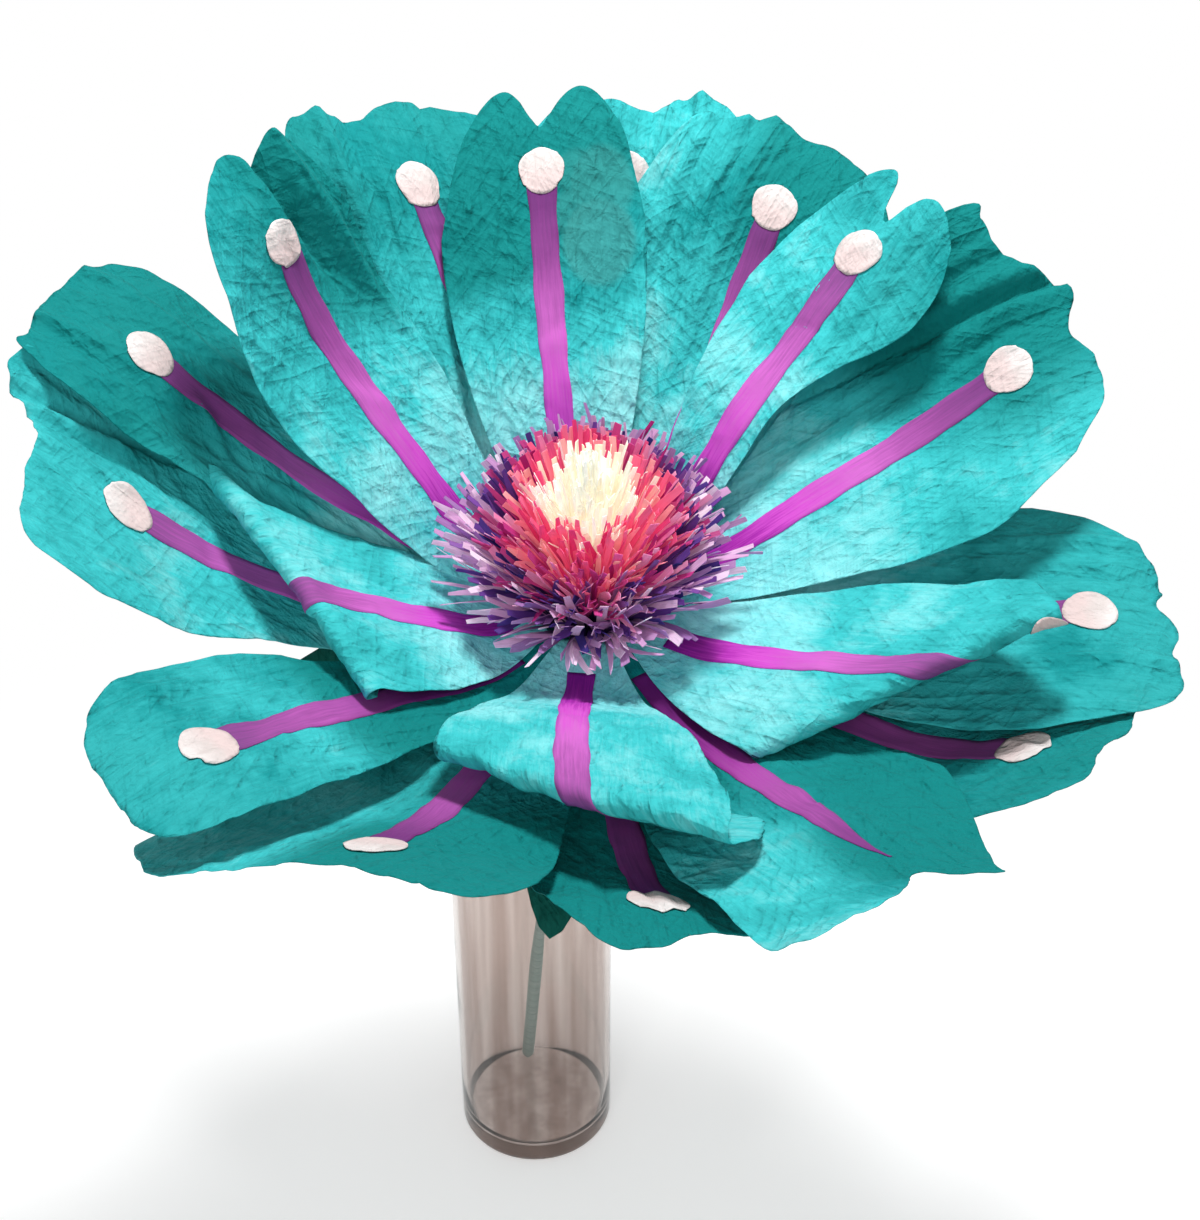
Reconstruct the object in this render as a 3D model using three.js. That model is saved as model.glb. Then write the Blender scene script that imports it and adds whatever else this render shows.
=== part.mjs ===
import * as THREE from 'three';

// Giant paper flower standing in a clear glass cylinder vase.
// Millimetres, +Z up. The origin is the centre of the vase's flat underside.
// The flower has its own frame: Z runs along its axis, out of the face, from the hub's face.

// Vase
const VASE_RADIUS = 50.8;
const VASE_HEIGHT = 254;
const VASE_WALL = 3.5;
const VASE_FLOOR = 12;
const VASE_FOOT_ROUND = 5;
const VASE_INSIDE_ROUND = 4;
const VASE_RIM_ROUND = 1.2;
const VASE_SIDES = 32;

// Paper and fits
const PAPER = 0.35;
const STRIPE_PAPER = 0.3;
const CLEARANCE = 0.3;

// Flower
const FLOWER_CENTRE = new THREE.Vector3(39, -130, 485);
const FLOWER_TILT = 20;
const HUB_RADIUS = 50;
const HUB_THICKNESS = 2.4;
const HUB_SIDES = 24;

// Stem
const STEM_RADIUS = 2.2;
const STEM_SIDES = 8;
const STEM_STEPS = 16;
const STEM_FOOT_BEARING = 101;
const STEM_RIM_BEARING = -73;
const STEM_TOP_STRAIGHT = 60;

// Petals: shares are of a petal's own length, from its glued end to its tip
const PETAL_START_RADIUS = 26.5;
const PETAL_BASE_HALF_WIDTH = 12.5;
const PETAL_WIDEST_SHARE = 0.7;
const INNER_PETAL_SWELL = 0.95;
const UNDER_PETAL_SWELL = 1.5;
const INNER_LAYER = 3;
const PETAL_SHOULDER_SHARE = 0.74;
const PETAL_NOTCH = 12;
const PETAL_NOTCH_SPREAD = 0.16;
const RISE_STATIONS = [0.08, 0.22, 0.5, 0.78, 1];
const BEND_START_SHARE = 0.12;
const CUP_REFERENCE = 75;
const WALK_STEP = 2;

// Stripe and end dot of each petal
const STRIPE_HALF_WIDTH = 7.5;
const STRIPE_START_SHARE = 0.14;
const DOT_RADIUS = 12;
const DOT_SHARE = 0.82;
const DOT_END_HALF_WIDTH = 4;

// Calyx
const SEPALS = 5;
const SEPAL_FIRST_BEARING = 262;
const SEPAL_REACH = 182;
const SEPAL_VALLEY = 52;
const SEPAL_DROOP = 10;
const CALYX_HOLE = STEM_RADIUS + 3;

// Each petal: bearing round the axis, rise of its midrib at the last four stations, twist and
// roll in degrees; cup, the lift of its edges; sway of its tip sideways, length and half width.
// A roll turns the tip back under along a line across the petal: how far out the line lies,
// how far it slants, and the roll's radius and turn.
const PETALS = [
  { name: 'inner_1', layer: INNER_LAYER, bearing: 100, rise: [48, 33, 32, 22], cup: 0,
    twist: 5, sway: -15, length: 255, half: 53 },
  { name: 'inner_2', layer: INNER_LAYER + 1, bearing: 149, rise: [52, 44, 64, 34], cup: 0.06,
    twist: 11, sway: -16, length: 260, half: 52 },
  { name: 'inner_3', layer: INNER_LAYER, bearing: 201, rise: [40, 35, 45, 25], cup: -0.02,
    twist: 8, sway: -3, length: 178, half: 59, roll: { out: 122, slant: 20, radius: 5, turn: 170 } },
  { name: 'inner_4', layer: INNER_LAYER, bearing: 265, rise: [48, 31, 40, 25], cup: 0.04,
    twist: -2, sway: 19, length: 240, half: 64, roll: { out: 142, slant: -30, radius: 5, turn: 170 } },
  { name: 'inner_5', layer: INNER_LAYER - 1, bearing: 329, rise: [23, 28, 41, 22], cup: -0.03,
    twist: -12, sway: 5, length: 215, half: 68, roll: { out: 105, slant: -46, radius: 5, turn: 170 } },
  { name: 'inner_6', layer: INNER_LAYER, bearing: 47, rise: [55, 23, 28, 31], cup: 0.03,
    twist: -8, sway: 4, length: 247, half: 49 },
  { name: 'middle_1', layer: 1, bearing: -6, rise: [2, 14, 15, -13], cup: 0,
    twist: -8, sway: -11, length: 259, half: 74 },
  { name: 'middle_2', layer: 1, bearing: 63, rise: [24, 31, 34, 1], cup: 0.04,
    twist: 18, sway: 6, length: 261, half: 73 },
  { name: 'middle_3', layer: 1, bearing: 114, rise: [35, 38, 37, 2], cup: 0.03,
    twist: 14, sway: 4, length: 265, half: 73 },
  { name: 'middle_4', layer: 1, bearing: 186, rise: [12, 35, 46, 38], cup: 0.15,
    twist: 5, sway: -17, length: 264, half: 72 },
  { name: 'middle_5', layer: 1, bearing: 248, rise: [23, 32, 49, 41], cup: -0.16,
    twist: 16, sway: 2, length: 269, half: 88 },
  { name: 'middle_6', layer: 1, bearing: 300, rise: [16, 34, 36, 57], cup: -0.12,
    twist: -14, sway: 3, length: 287, half: 72 },
  { name: 'outer_1', layer: 0, bearing: 86, rise: [16, 36, 33, 8], cup: 0,
    twist: -2, sway: -4, length: 271, half: 74 },
  { name: 'outer_2', layer: 2, bearing: 162, rise: [25, 33, 42, 16], cup: -0.07,
    twist: 12, sway: -2, length: 271, half: 70 },
  { name: 'outer_3', layer: 2, bearing: 224, rise: [32, 35, 35, -1], cup: 0.04,
    twist: 5, sway: 15, length: 267, half: 63 },
  { name: 'outer_4', layer: 0, bearing: 275, rise: [8, 25, 43, 35], cup: 0.06,
    twist: -11, sway: 14, length: 243, half: 73 },
  { name: 'outer_5', layer: 0, bearing: 329, rise: [0, 0, 36, 28], cup: 0.08,
    twist: -18, sway: 15, length: 242, half: 73 },
  { name: 'outer_6', layer: 2, bearing: 22, rise: [24, 21, 29, 6], cup: 0.2,
    twist: 14, sway: 8, length: 258, half: 75 },
];

// Fringe rolls from the middle out: band radii, and where the tips of the strands reach
const FRINGE_BAND_HEIGHT = 15;
const FRINGE_STRAND_FILL = 0.6;
const FRINGE_TIP_WIDTH = 4;
const FRINGE_TIP_THICKNESS = 1.2;
const FRINGE = [
  { name: 'fringe_cream', inner: 1.5, outer: 6.5, strands: 9, tip: 17, height: 82, colour: 0xf4e9c8 },
  { name: 'fringe_coral', inner: 6.8, outer: 11.2, strands: 14, tip: 37, height: 73, colour: 0xe8788a },
  { name: 'fringe_magenta', inner: 11.5, outer: 15.9, strands: 17, tip: 52, height: 66, colour: 0xc23a78 },
  { name: 'fringe_violet', inner: 16.2, outer: 20.6, strands: 20, tip: 66, height: 57, colour: 0x3b3f8c },
  { name: 'fringe_lavender', inner: 20.9, outer: 25.3, strands: 24, tip: 80, height: 48, colour: 0xc9a6cf },
];

const LAYER_STEP = PAPER + STRIPE_PAPER + 2 * CLEARANCE + 0.05;
const radians = THREE.MathUtils.degToRad;

function material(colour, roughness) {
  return new THREE.MeshStandardMaterial({ color: colour, roughness, metalness: 0 });
}

// Turns a closed geometry inside out if its faces point inwards
function faceOut(geometry) {
  const position = geometry.attributes.position;
  const index = geometry.index.array;
  const a = new THREE.Vector3();
  const b = new THREE.Vector3();
  const c = new THREE.Vector3();
  let volume = 0;
  for (let i = 0; i < index.length; i += 3) {
    a.fromBufferAttribute(position, index[i]);
    b.fromBufferAttribute(position, index[i + 1]);
    c.fromBufferAttribute(position, index[i + 2]);
    volume += a.dot(b.cross(c));
  }
  if (volume < 0) {
    for (let i = 0; i < index.length; i += 3) {
      const first = index[i];
      index[i] = index[i + 1];
      index[i + 1] = first;
    }
  }
  return geometry;
}

// Builds a geometry from corner points and four-sided faces
function solidFromQuads(points, quads) {
  const geometry = new THREE.BufferGeometry();
  geometry.setFromPoints(points);
  const index = [];
  for (const [a, b, c, d] of quads) {
    index.push(a, b, c, a, c, d);
  }
  geometry.setIndex(index);
  return faceOut(geometry);
}

// Normal of a grid of points at one of them, from its neighbours
function gridNormal(grid, row, column, around) {
  const rows = grid.length;
  const columns = grid[0].length;
  const left = around ? (column + columns - 1) % columns : Math.max(column - 1, 0);
  const right = around ? (column + 1) % columns : Math.min(column + 1, columns - 1);
  const across = grid[row][right].clone().sub(grid[row][left]);
  const along = grid[Math.min(row + 1, rows - 1)][column].clone();
  along.sub(grid[Math.max(row - 1, 0)][column]);
  return along.cross(across).normalize();
}

// Makes a closed sheet between two offsets from a grid of points, or from a window of that grid
function sheet(grid, low, high, { around = false, window = null } = {}) {
  const [top, left, rows, columns] = window ?? [0, 0, grid.length, grid[0].length];
  const points = [];
  for (const offset of [low, high]) {
    for (let row = 0; row < rows; row += 1) {
      for (let column = 0; column < columns; column += 1) {
        const normal = gridNormal(grid, top + row, left + column, around);
        points.push(grid[top + row][left + column].clone().addScaledVector(normal, offset));
      }
    }
  }
  const at = (side, row, column) => side * rows * columns + row * columns + (column % columns);
  const cells = around ? columns : columns - 1;
  const quads = [];
  for (let column = 0; column < cells; column += 1) {
    for (let row = 0; row < rows - 1; row += 1) {
      quads.push([at(0, row, column), at(0, row, column + 1), at(0, row + 1, column + 1), at(0, row + 1, column)]);
      quads.push([at(1, row, column), at(1, row + 1, column), at(1, row + 1, column + 1), at(1, row, column + 1)]);
    }
    quads.push([at(0, 0, column), at(1, 0, column), at(1, 0, column + 1), at(0, 0, column + 1)]);
    const end = rows - 1;
    quads.push([at(0, end, column), at(0, end, column + 1), at(1, end, column + 1), at(1, end, column)]);
  }
  if (!around) {
    const side = columns - 1;
    for (let row = 0; row < rows - 1; row += 1) {
      quads.push([at(0, row, 0), at(0, row + 1, 0), at(1, row + 1, 0), at(1, row, 0)]);
      quads.push([at(0, row, side), at(1, row, side), at(1, row + 1, side), at(0, row + 1, side)]);
    }
  }
  return solidFromQuads(points, quads);
}

// Half width of a petal laid flat, a distance along it
function petalHalfWidth(petal, along) {
  const share = Math.min(along / (PETAL_WIDEST_SHARE * petal.length), 1);
  const power = petal.name.startsWith('inner') ? INNER_PETAL_SWELL : UNDER_PETAL_SWELL;
  const swell = Math.sin((Math.PI / 2) * share) ** power;
  return PETAL_BASE_HALF_WIDTH + (petal.half - PETAL_BASE_HALF_WIDTH) * swell;
}

// Distance from a petal's glued end to its outline: a round end with a shallow notch in the middle
function petalEnd(petal, across) {
  const round = Math.sqrt(Math.max(1 - across * across, 0));
  const share = PETAL_SHOULDER_SHARE + (1 - PETAL_SHOULDER_SHARE) * round;
  const notch = PETAL_NOTCH * Math.exp(-((across / PETAL_NOTCH_SPREAD) ** 2));
  return share * petal.length - notch;
}

// Rise of a petal's midrib a distance along it, in radians
function riseAt(petal, along) {
  const angles = [0, ...petal.rise];
  const share = along / petal.length;
  if (share <= RISE_STATIONS[0]) {
    return 0;
  }
  for (let i = 1; i < RISE_STATIONS.length; i += 1) {
    if (share <= RISE_STATIONS[i]) {
      const part = (share - RISE_STATIONS[i - 1]) / (RISE_STATIONS[i] - RISE_STATIONS[i - 1]);
      return radians(THREE.MathUtils.lerp(angles[i - 1], angles[i], part));
    }
  }
  return radians(angles[angles.length - 1]);
}

// Reach and height of a petal's midrib a distance along it
function midribAt(petal, along) {
  const steps = Math.max(Math.ceil(along / WALK_STEP), 1);
  const step = along / steps;
  let reach = 0;
  let height = 0;
  for (let i = 0; i < steps; i += 1) {
    const rise = riseAt(petal, (i + 0.5) * step);
    reach += Math.cos(rise) * step;
    height += Math.sin(rise) * step;
  }
  return { reach, height };
}

// Rolls the flat paper back under beyond a slanted line
function rolled(petal, along, side) {
  if (!petal.roll) {
    return { along, side, lift: 0 };
  }
  const slant = radians(petal.roll.slant);
  const beyond = along * Math.cos(slant) + side * Math.sin(slant) - petal.roll.out;
  if (beyond <= 0) {
    return { along, side, lift: 0 };
  }
  const turn = Math.min(beyond / petal.roll.radius, radians(petal.roll.turn));
  const rest = beyond - turn * petal.roll.radius;
  const forward = petal.roll.radius * Math.sin(turn) + rest * Math.cos(turn) - beyond;
  const lift = -petal.roll.radius * (1 - Math.cos(turn)) - rest * Math.sin(turn);
  return { along: along + forward * Math.cos(slant), side: side + forward * Math.sin(slant), lift };
}

// Point of a petal's paper in the flower's frame: across from -1 to 1, out from 0 to 1
function petalPoint(petal, across, out) {
  const flatAlong = out * petalEnd(petal, across);
  const flatSide = across * petalHalfWidth(petal, flatAlong);
  const { along, side, lift } = rolled(petal, flatAlong, flatSide);
  const { reach, height } = midribAt(petal, along);
  const rise = riseAt(petal, along);
  const bend = THREE.MathUtils.clamp((flatAlong / petal.length - BEND_START_SHARE) / (1 - BEND_START_SHARE), 0, 1);
  const raised = lift + (petal.cup * side * side * bend) / CUP_REFERENCE;
  const twist = radians(petal.twist) * bend;
  const sideways = side * Math.cos(twist) - raised * Math.sin(twist) + petal.sway * bend * bend;
  const normal = side * Math.sin(twist) + raised * Math.cos(twist);
  const radius = PETAL_START_RADIUS + reach - normal * Math.sin(rise);
  const level = CLEARANCE + PAPER / 2 + petal.layer * LAYER_STEP;
  const bearing = radians(petal.bearing);
  return new THREE.Vector3(
    radius * Math.cos(bearing) - sideways * Math.sin(bearing),
    radius * Math.sin(bearing) + sideways * Math.cos(bearing),
    level + height + normal * Math.cos(rise),
  );
}

// Half width of the stripe, swelling into the round dot at its end
function stripeHalfWidth(petal, along) {
  const fromDot = along - DOT_SHARE * petal.length;
  const inDot = Math.max(DOT_RADIUS ** 2 - fromDot ** 2, 0);
  const round = Math.sqrt(inDot);
  return fromDot > 0 ? Math.max(round, DOT_END_HALF_WIDTH) : Math.max(round, STRIPE_HALF_WIDTH);
}

// Distances along the midrib where the petal's grid has a row
function petalRows(petal) {
  const dot = DOT_SHARE * petal.length;
  const last = petalEnd(petal, 0);
  const neck = dot - Math.sqrt(DOT_RADIUS ** 2 - STRIPE_HALF_WIDTH ** 2);
  const rows = [];
  const plain = petal.roll ? 12 : 5;
  const first = STRIPE_START_SHARE * petal.length;
  rows.push(0, RISE_STATIONS[0] * petal.length);
  for (let i = 0; i <= plain; i += 1) {
    rows.push(THREE.MathUtils.lerp(first, neck, i / plain));
  }
  rows.push(dot, dot + DOT_RADIUS * 0.7, dot + DOT_RADIUS);
  rows.push(last);
  return { rows, first: 2, last: rows.length - 2 };
}

// Grid of a petal: columns at its edges, at the stripe's edges and between them
function petalGrid(petal) {
  const { rows } = petalRows(petal);
  const between = petal.roll ? [0.72, 0.46, 0.22] : [0.5];
  return rows.map((along) => {
    const out = along / petalEnd(petal, 0);
    const stripe = stripeHalfWidth(petal, along) / petalHalfWidth(petal, along);
    const side = [1, ...between.map((share) => THREE.MathUtils.lerp(stripe, 1, share)), stripe];
    const across = [...side.map((value) => -value), ...side.reverse()];
    return across.map((value) => petalPoint(petal, value, out));
  });
}

function petalMesh(petal) {
  const mesh = new THREE.Mesh(sheet(petalGrid(petal), -PAPER / 2, PAPER / 2), material(0x1fb5b0, 0.85));
  mesh.name = `petal_${petal.name}`;
  return mesh;
}

// The stripe lies on the middle cells of its petal's grid
function stripeMesh(petal) {
  const { first, last } = petalRows(petal);
  const grid = petalGrid(petal);
  const window = [first, grid[0].length / 2 - 1, last - first + 1, 2];
  const low = PAPER / 2 + CLEARANCE;
  const mesh = new THREE.Mesh(sheet(grid, low, low + STRIPE_PAPER, { window }), material(0xa02ca6, 0.8));
  mesh.name = `stripe_${petal.name}`;
  return mesh;
}

// A rolled strip cut into strands: a ring band whose strands splay outwards
function fringeMesh(roll) {
  const points = [];
  const quads = [];
  const pitch = (2 * Math.PI) / roll.strands;
  const low = CLEARANCE;
  const ring = (radius, angle, height) => {
    return new THREE.Vector3(radius * Math.cos(angle), radius * Math.sin(angle), height);
  };
  for (let i = 0; i < roll.strands; i += 1) {
    for (const angle of [i * pitch, (i + FRINGE_STRAND_FILL) * pitch]) {
      points.push(ring(roll.inner, angle, low), ring(roll.outer, angle, low));
      points.push(ring(roll.inner, angle, FRINGE_BAND_HEIGHT), ring(roll.outer, angle, FRINGE_BAND_HEIGHT));
    }
  }
  const stations = 2 * roll.strands;
  const corner = (station, which) => (station % stations) * 4 + which;
  for (let i = 0; i < stations; i += 1) {
    quads.push([corner(i, 0), corner(i + 1, 0), corner(i + 1, 1), corner(i, 1)]);
    quads.push([corner(i, 0), corner(i, 2), corner(i + 1, 2), corner(i + 1, 0)]);
    quads.push([corner(i, 1), corner(i + 1, 1), corner(i + 1, 3), corner(i, 3)]);
    if (i % 2 === 1) {
      quads.push([corner(i, 2), corner(i, 3), corner(i + 1, 3), corner(i + 1, 2)]);
      continue;
    }
    // Alternate strands stand a little taller and closer to the axis
    const taller = (i / 2) % 2;
    const tip = roll.tip * (1 - 0.1 * taller);
    const top = roll.height * (1 + 0.04 * taller);
    const middle = (i / 2 + FRINGE_STRAND_FILL / 2) * pitch;
    const half = FRINGE_TIP_WIDTH / 2 / tip;
    const thick = FRINGE_TIP_THICKNESS / 2;
    const start = points.length;
    points.push(ring(tip - thick, middle - half, top), ring(tip + thick, middle - half, top));
    points.push(ring(tip + thick, middle + half, top), ring(tip - thick, middle + half, top));
    const base = [corner(i, 2), corner(i, 3), corner(i + 1, 3), corner(i + 1, 2)];
    for (let k = 0; k < 4; k += 1) {
      const next = (k + 1) % 4;
      quads.push([base[k], base[next], start + next, start + k]);
    }
    quads.push([start, start + 1, start + 2, start + 3]);
  }
  const mesh = new THREE.Mesh(solidFromQuads(points, quads), material(roll.colour, 0.85));
  mesh.name = roll.name;
  return mesh;
}

// Card disc that every petal and fringe roll is glued to
function hubMesh() {
  const geometry = new THREE.CylinderGeometry(HUB_RADIUS, HUB_RADIUS, HUB_THICKNESS, HUB_SIDES);
  const mesh = new THREE.Mesh(geometry, material(0x1b8f8a, 0.9));
  mesh.name = 'hub_disc';
  mesh.rotation.x = Math.PI / 2;
  mesh.position.z = -HUB_THICKNESS / 2;
  return mesh;
}

// Pointed paper sepals cut from one sheet, under the hub and round the stem
function calyxMesh() {
  const outline = [
    [0, 1],
    [0.25, 0.62],
    [0.55, 0.24],
    [1, 0],
  ];
  const pitch = 360 / SEPALS;
  const level = -HUB_THICKNESS - CLEARANCE - PAPER / 2;
  const reaches = [];
  for (let i = 0; i < SEPALS; i += 1) {
    const middle = SEPAL_FIRST_BEARING + i * pitch;
    for (const [share, size] of outline) {
      reaches.push([middle + (share * pitch) / 2, size]);
    }
    for (const [share, size] of outline.slice(1, -1).reverse()) {
      reaches.push([middle + pitch - (share * pitch) / 2, size]);
    }
  }
  const grid = [0, 0.5, 1].map((out) => reaches.map(([bearing, size]) => {
    const edge = THREE.MathUtils.lerp(SEPAL_VALLEY, SEPAL_REACH, size);
    const radius = THREE.MathUtils.lerp(CALYX_HOLE, edge, out);
    const droop = Math.max(radius - HUB_RADIUS * 0.8, 0) * Math.tan(radians(SEPAL_DROOP));
    const angle = radians(bearing);
    return new THREE.Vector3(radius * Math.cos(angle), radius * Math.sin(angle), level - droop);
  }));
  const mesh = new THREE.Mesh(sheet(grid, -PAPER / 2, PAPER / 2, { around: true }), material(0x0f6b5e, 0.9));
  mesh.name = 'calyx';
  return mesh;
}

// Direction and place of the flower's axis where the stem meets the hub
const axis = new THREE.Vector3(0, 0, 1).applyAxisAngle(new THREE.Vector3(1, 0, 0), radians(FLOWER_TILT));

// Stem from the vase's floor, against its rim, to the underside of the hub
function stemMesh() {
  // The wall's facets lie a little inside its radius between their corners
  const inside = (VASE_RADIUS - VASE_WALL) * Math.cos(Math.PI / VASE_SIDES);
  const place = (radius, bearing, height) => {
    return new THREE.Vector3(radius * Math.cos(radians(bearing)), radius * Math.sin(radians(bearing)), height);
  };
  const footHeight = VASE_FLOOR + CLEARANCE + STEM_RADIUS * Math.sin(radians(FLOWER_TILT));
  const footRadius = inside - VASE_INSIDE_ROUND - CLEARANCE - STEM_RADIUS;
  const foot = place(footRadius, STEM_FOOT_BEARING, footHeight);
  const rim = place(inside - CLEARANCE - STEM_RADIUS / Math.cos(radians(FLOWER_TILT)), STEM_RIM_BEARING, VASE_HEIGHT);
  const top = FLOWER_CENTRE.clone().addScaledVector(axis, -HUB_THICKNESS - CLEARANCE);
  const under = top.clone().addScaledVector(axis, -STEM_TOP_STRAIGHT);
  const curve = new THREE.CatmullRomCurve3([foot, rim, under, top], false, 'centripetal');
  const section = new THREE.Shape();
  for (let i = 0; i < STEM_SIDES; i += 1) {
    const angle = (2 * Math.PI * i) / STEM_SIDES;
    const x = STEM_RADIUS * Math.cos(angle);
    const y = STEM_RADIUS * Math.sin(angle);
    if (i === 0) {
      section.moveTo(x, y);
    } else {
      section.lineTo(x, y);
    }
  }
  section.closePath();
  const geometry = new THREE.ExtrudeGeometry(section, { steps: STEM_STEPS, extrudePath: curve });
  const mesh = new THREE.Mesh(geometry, material(0x6a8f88, 0.8));
  mesh.name = 'stem';
  return mesh;
}

// Points of a quarter round from one angle to another, in degrees
function quarterRound(centreRadius, centreHeight, round, from, to) {
  const points = [];
  for (let i = 0; i <= 2; i += 1) {
    const angle = radians(THREE.MathUtils.lerp(from, to, i / 2));
    points.push(new THREE.Vector2(centreRadius + round * Math.cos(angle), centreHeight + round * Math.sin(angle)));
  }
  return points;
}

// Blown glass cylinder: flat underside, rounded foot, thick floor and rounded rim
function vaseMesh() {
  const inside = VASE_RADIUS - VASE_WALL;
  const foot = VASE_FOOT_ROUND;
  const profile = [new THREE.Vector2(0, 0)];
  profile.push(...quarterRound(VASE_RADIUS - foot, foot, foot, -90, 0));
  profile.push(new THREE.Vector2(VASE_RADIUS, VASE_HEIGHT - VASE_RIM_ROUND));
  profile.push(new THREE.Vector2(VASE_RADIUS - VASE_RIM_ROUND, VASE_HEIGHT));
  profile.push(new THREE.Vector2(inside + VASE_RIM_ROUND, VASE_HEIGHT));
  profile.push(new THREE.Vector2(inside, VASE_HEIGHT - VASE_RIM_ROUND));
  profile.push(new THREE.Vector2(inside, VASE_FLOOR + VASE_INSIDE_ROUND));
  profile.push(new THREE.Vector2(inside - VASE_INSIDE_ROUND, VASE_FLOOR));
  profile.push(new THREE.Vector2(0, VASE_FLOOR));
  const glass = new THREE.MeshStandardMaterial({ color: 0xb9aca6, roughness: 0.08, metalness: 0 });
  glass.transparent = true;
  glass.opacity = 0.35;
  const mesh = new THREE.Mesh(faceOut(new THREE.LatheGeometry(profile, VASE_SIDES)), glass);
  mesh.name = 'vase';
  mesh.rotation.x = Math.PI / 2;
  return mesh;
}

const flower = new THREE.Group();
flower.position.copy(FLOWER_CENTRE);
flower.rotation.x = radians(FLOWER_TILT);
flower.add(hubMesh(), calyxMesh());
for (const roll of FRINGE) {
  flower.add(fringeMesh(roll));
}
for (const petal of PETALS) {
  flower.add(petalMesh(petal), stripeMesh(petal));
}

const paperFlower = new THREE.Group();
paperFlower.add(vaseMesh(), stemMesh(), flower);

export default paperFlower;
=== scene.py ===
"""Giant paper flower in a clear glass cylinder vase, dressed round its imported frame.

All lengths in the classes are millimetres in the frame of the vase's foot; meshes are written in metres.
"""

import logging
import math
from collections.abc import Callable, Iterable
from dataclasses import dataclass, field
from enum import Enum
from functools import partial
from typing import ClassVar

import bpy
import numpy as np
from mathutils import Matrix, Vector


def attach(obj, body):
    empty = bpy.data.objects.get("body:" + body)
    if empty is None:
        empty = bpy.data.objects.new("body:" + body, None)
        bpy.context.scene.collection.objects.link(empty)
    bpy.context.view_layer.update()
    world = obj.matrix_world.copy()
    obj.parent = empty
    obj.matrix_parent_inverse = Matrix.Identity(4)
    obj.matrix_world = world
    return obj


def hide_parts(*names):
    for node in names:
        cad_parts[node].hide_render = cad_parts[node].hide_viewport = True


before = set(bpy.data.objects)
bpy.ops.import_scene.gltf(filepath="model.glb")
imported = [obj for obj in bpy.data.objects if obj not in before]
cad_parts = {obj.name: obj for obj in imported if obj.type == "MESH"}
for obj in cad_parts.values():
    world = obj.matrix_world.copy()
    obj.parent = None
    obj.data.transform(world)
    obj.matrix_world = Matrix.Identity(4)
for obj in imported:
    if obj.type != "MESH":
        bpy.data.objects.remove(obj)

LOG = logging.getLogger("paper_flower")
MM = 0.001
# Numbers of a mix node's two colour sockets
FIRST, SECOND = 6, 7
Array = np.ndarray
Node, Socket = bpy.types.Node, bpy.types.NodeSocket
Add = Callable[..., Node]
Stops = tuple[tuple[float, str], ...]
Curve = tuple[tuple[float, float], ...]


class Ring(Enum):
    """The three staggered rings of petals."""

    INNER = "inner"
    MIDDLE = "middle"
    OUTER = "outer"


def linear(hex_colour: str) -> tuple[float, float, float, float]:
    """Turns an sRGB hex colour such as "#1FB5B0" into linear red, green, blue and alpha."""
    channels = [int(hex_colour[i : i + 2], 16) / 255 for i in (1, 3, 5)]
    lin = [c / 12.92 if c <= 0.04045 else ((c + 0.055) / 1.055) ** 2.4 for c in channels]
    return (lin[0], lin[1], lin[2], 1.0)


def add_node(
    tree: bpy.types.NodeTree, kind: str, inputs: dict | None = None, stops: Stops = (), **settings: object
) -> Node:
    """Adds a node with its settings, values and links.

    Args:
        tree: the material's or world's node tree.
        kind: the node type's name without its common start.
        inputs: socket name or number to a value, a hex colour, or the node or output socket that feeds it.
        stops: a colour ramp's places from 0 to 1 with their hex colours.
        settings: the node's own properties.

    Returns:
        The new node.
    """
    made = tree.nodes.new(f"ShaderNode{kind}")
    for name, value in settings.items():
        setattr(made, name, value)
    for socket, value in (inputs or {}).items():
        if isinstance(value, Node):
            value = next(output for output in value.outputs if output.enabled)
        if isinstance(value, Socket):
            tree.links.new(value, made.inputs[socket])
        else:
            made.inputs[socket].default_value = linear(value) if isinstance(value, str) else value
    for number, (place, colour) in enumerate(stops):
        elements = made.color_ramp.elements
        element = elements[number] if number < len(elements) else elements.new(place)
        element.position, element.color = place, linear(colour)
    return made


def relief(add: Add, *layers: tuple[Node, float, float]) -> dict[str, Node]:
    """Lays bumps over one another.

    Args:
        add: adds a node to the material.
        layers: source of the height, strength, and depth in millimetres of each bump.

    Returns:
        The last bump as the Normal input of a shader.
    """
    normal = {}
    for source, strength, depth in layers:
        inputs = {"Height": source, "Strength": strength, "Distance": depth * MM, **normal}
        normal = {"Normal": add("Bump", inputs)}
    return normal


def seen_sharply(add: Add) -> Node:
    """Adds the test for rays from the camera, whether straight, reflected or through glass."""
    ray = add("LightPath").outputs
    sharp = add("Math", {0: ray["Is Camera Ray"], 1: ray["Is Glossy Ray"]}, operation="MAXIMUM")
    return add("Math", {0: sharp, 1: ray["Is Transmission Ray"]}, operation="MAXIMUM")


@dataclass(frozen=True)
class Finish:
    """A finish that builds its own material from nodes."""

    name: str
    # The mesh's own values that the finish reads, each with the part it wants
    reads: ClassVar[dict[str, str]] = {}

    def make(self) -> bpy.types.Material:
        """Makes the material."""
        material = bpy.data.materials.new(self.name)
        material.use_nodes = True
        material.node_tree.nodes.clear()
        add = partial(add_node, material.node_tree)
        read = [add("Attribute", attribute_name=name).outputs[part] for name, part in self.reads.items()]
        add("OutputMaterial", self.dress(add, *read))
        return material

    def dress(self, add: Add, *read: Socket) -> dict[str, Node]:
        """Adds the finish's nodes; returns what feeds the material's output."""
        raise NotImplementedError


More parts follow.
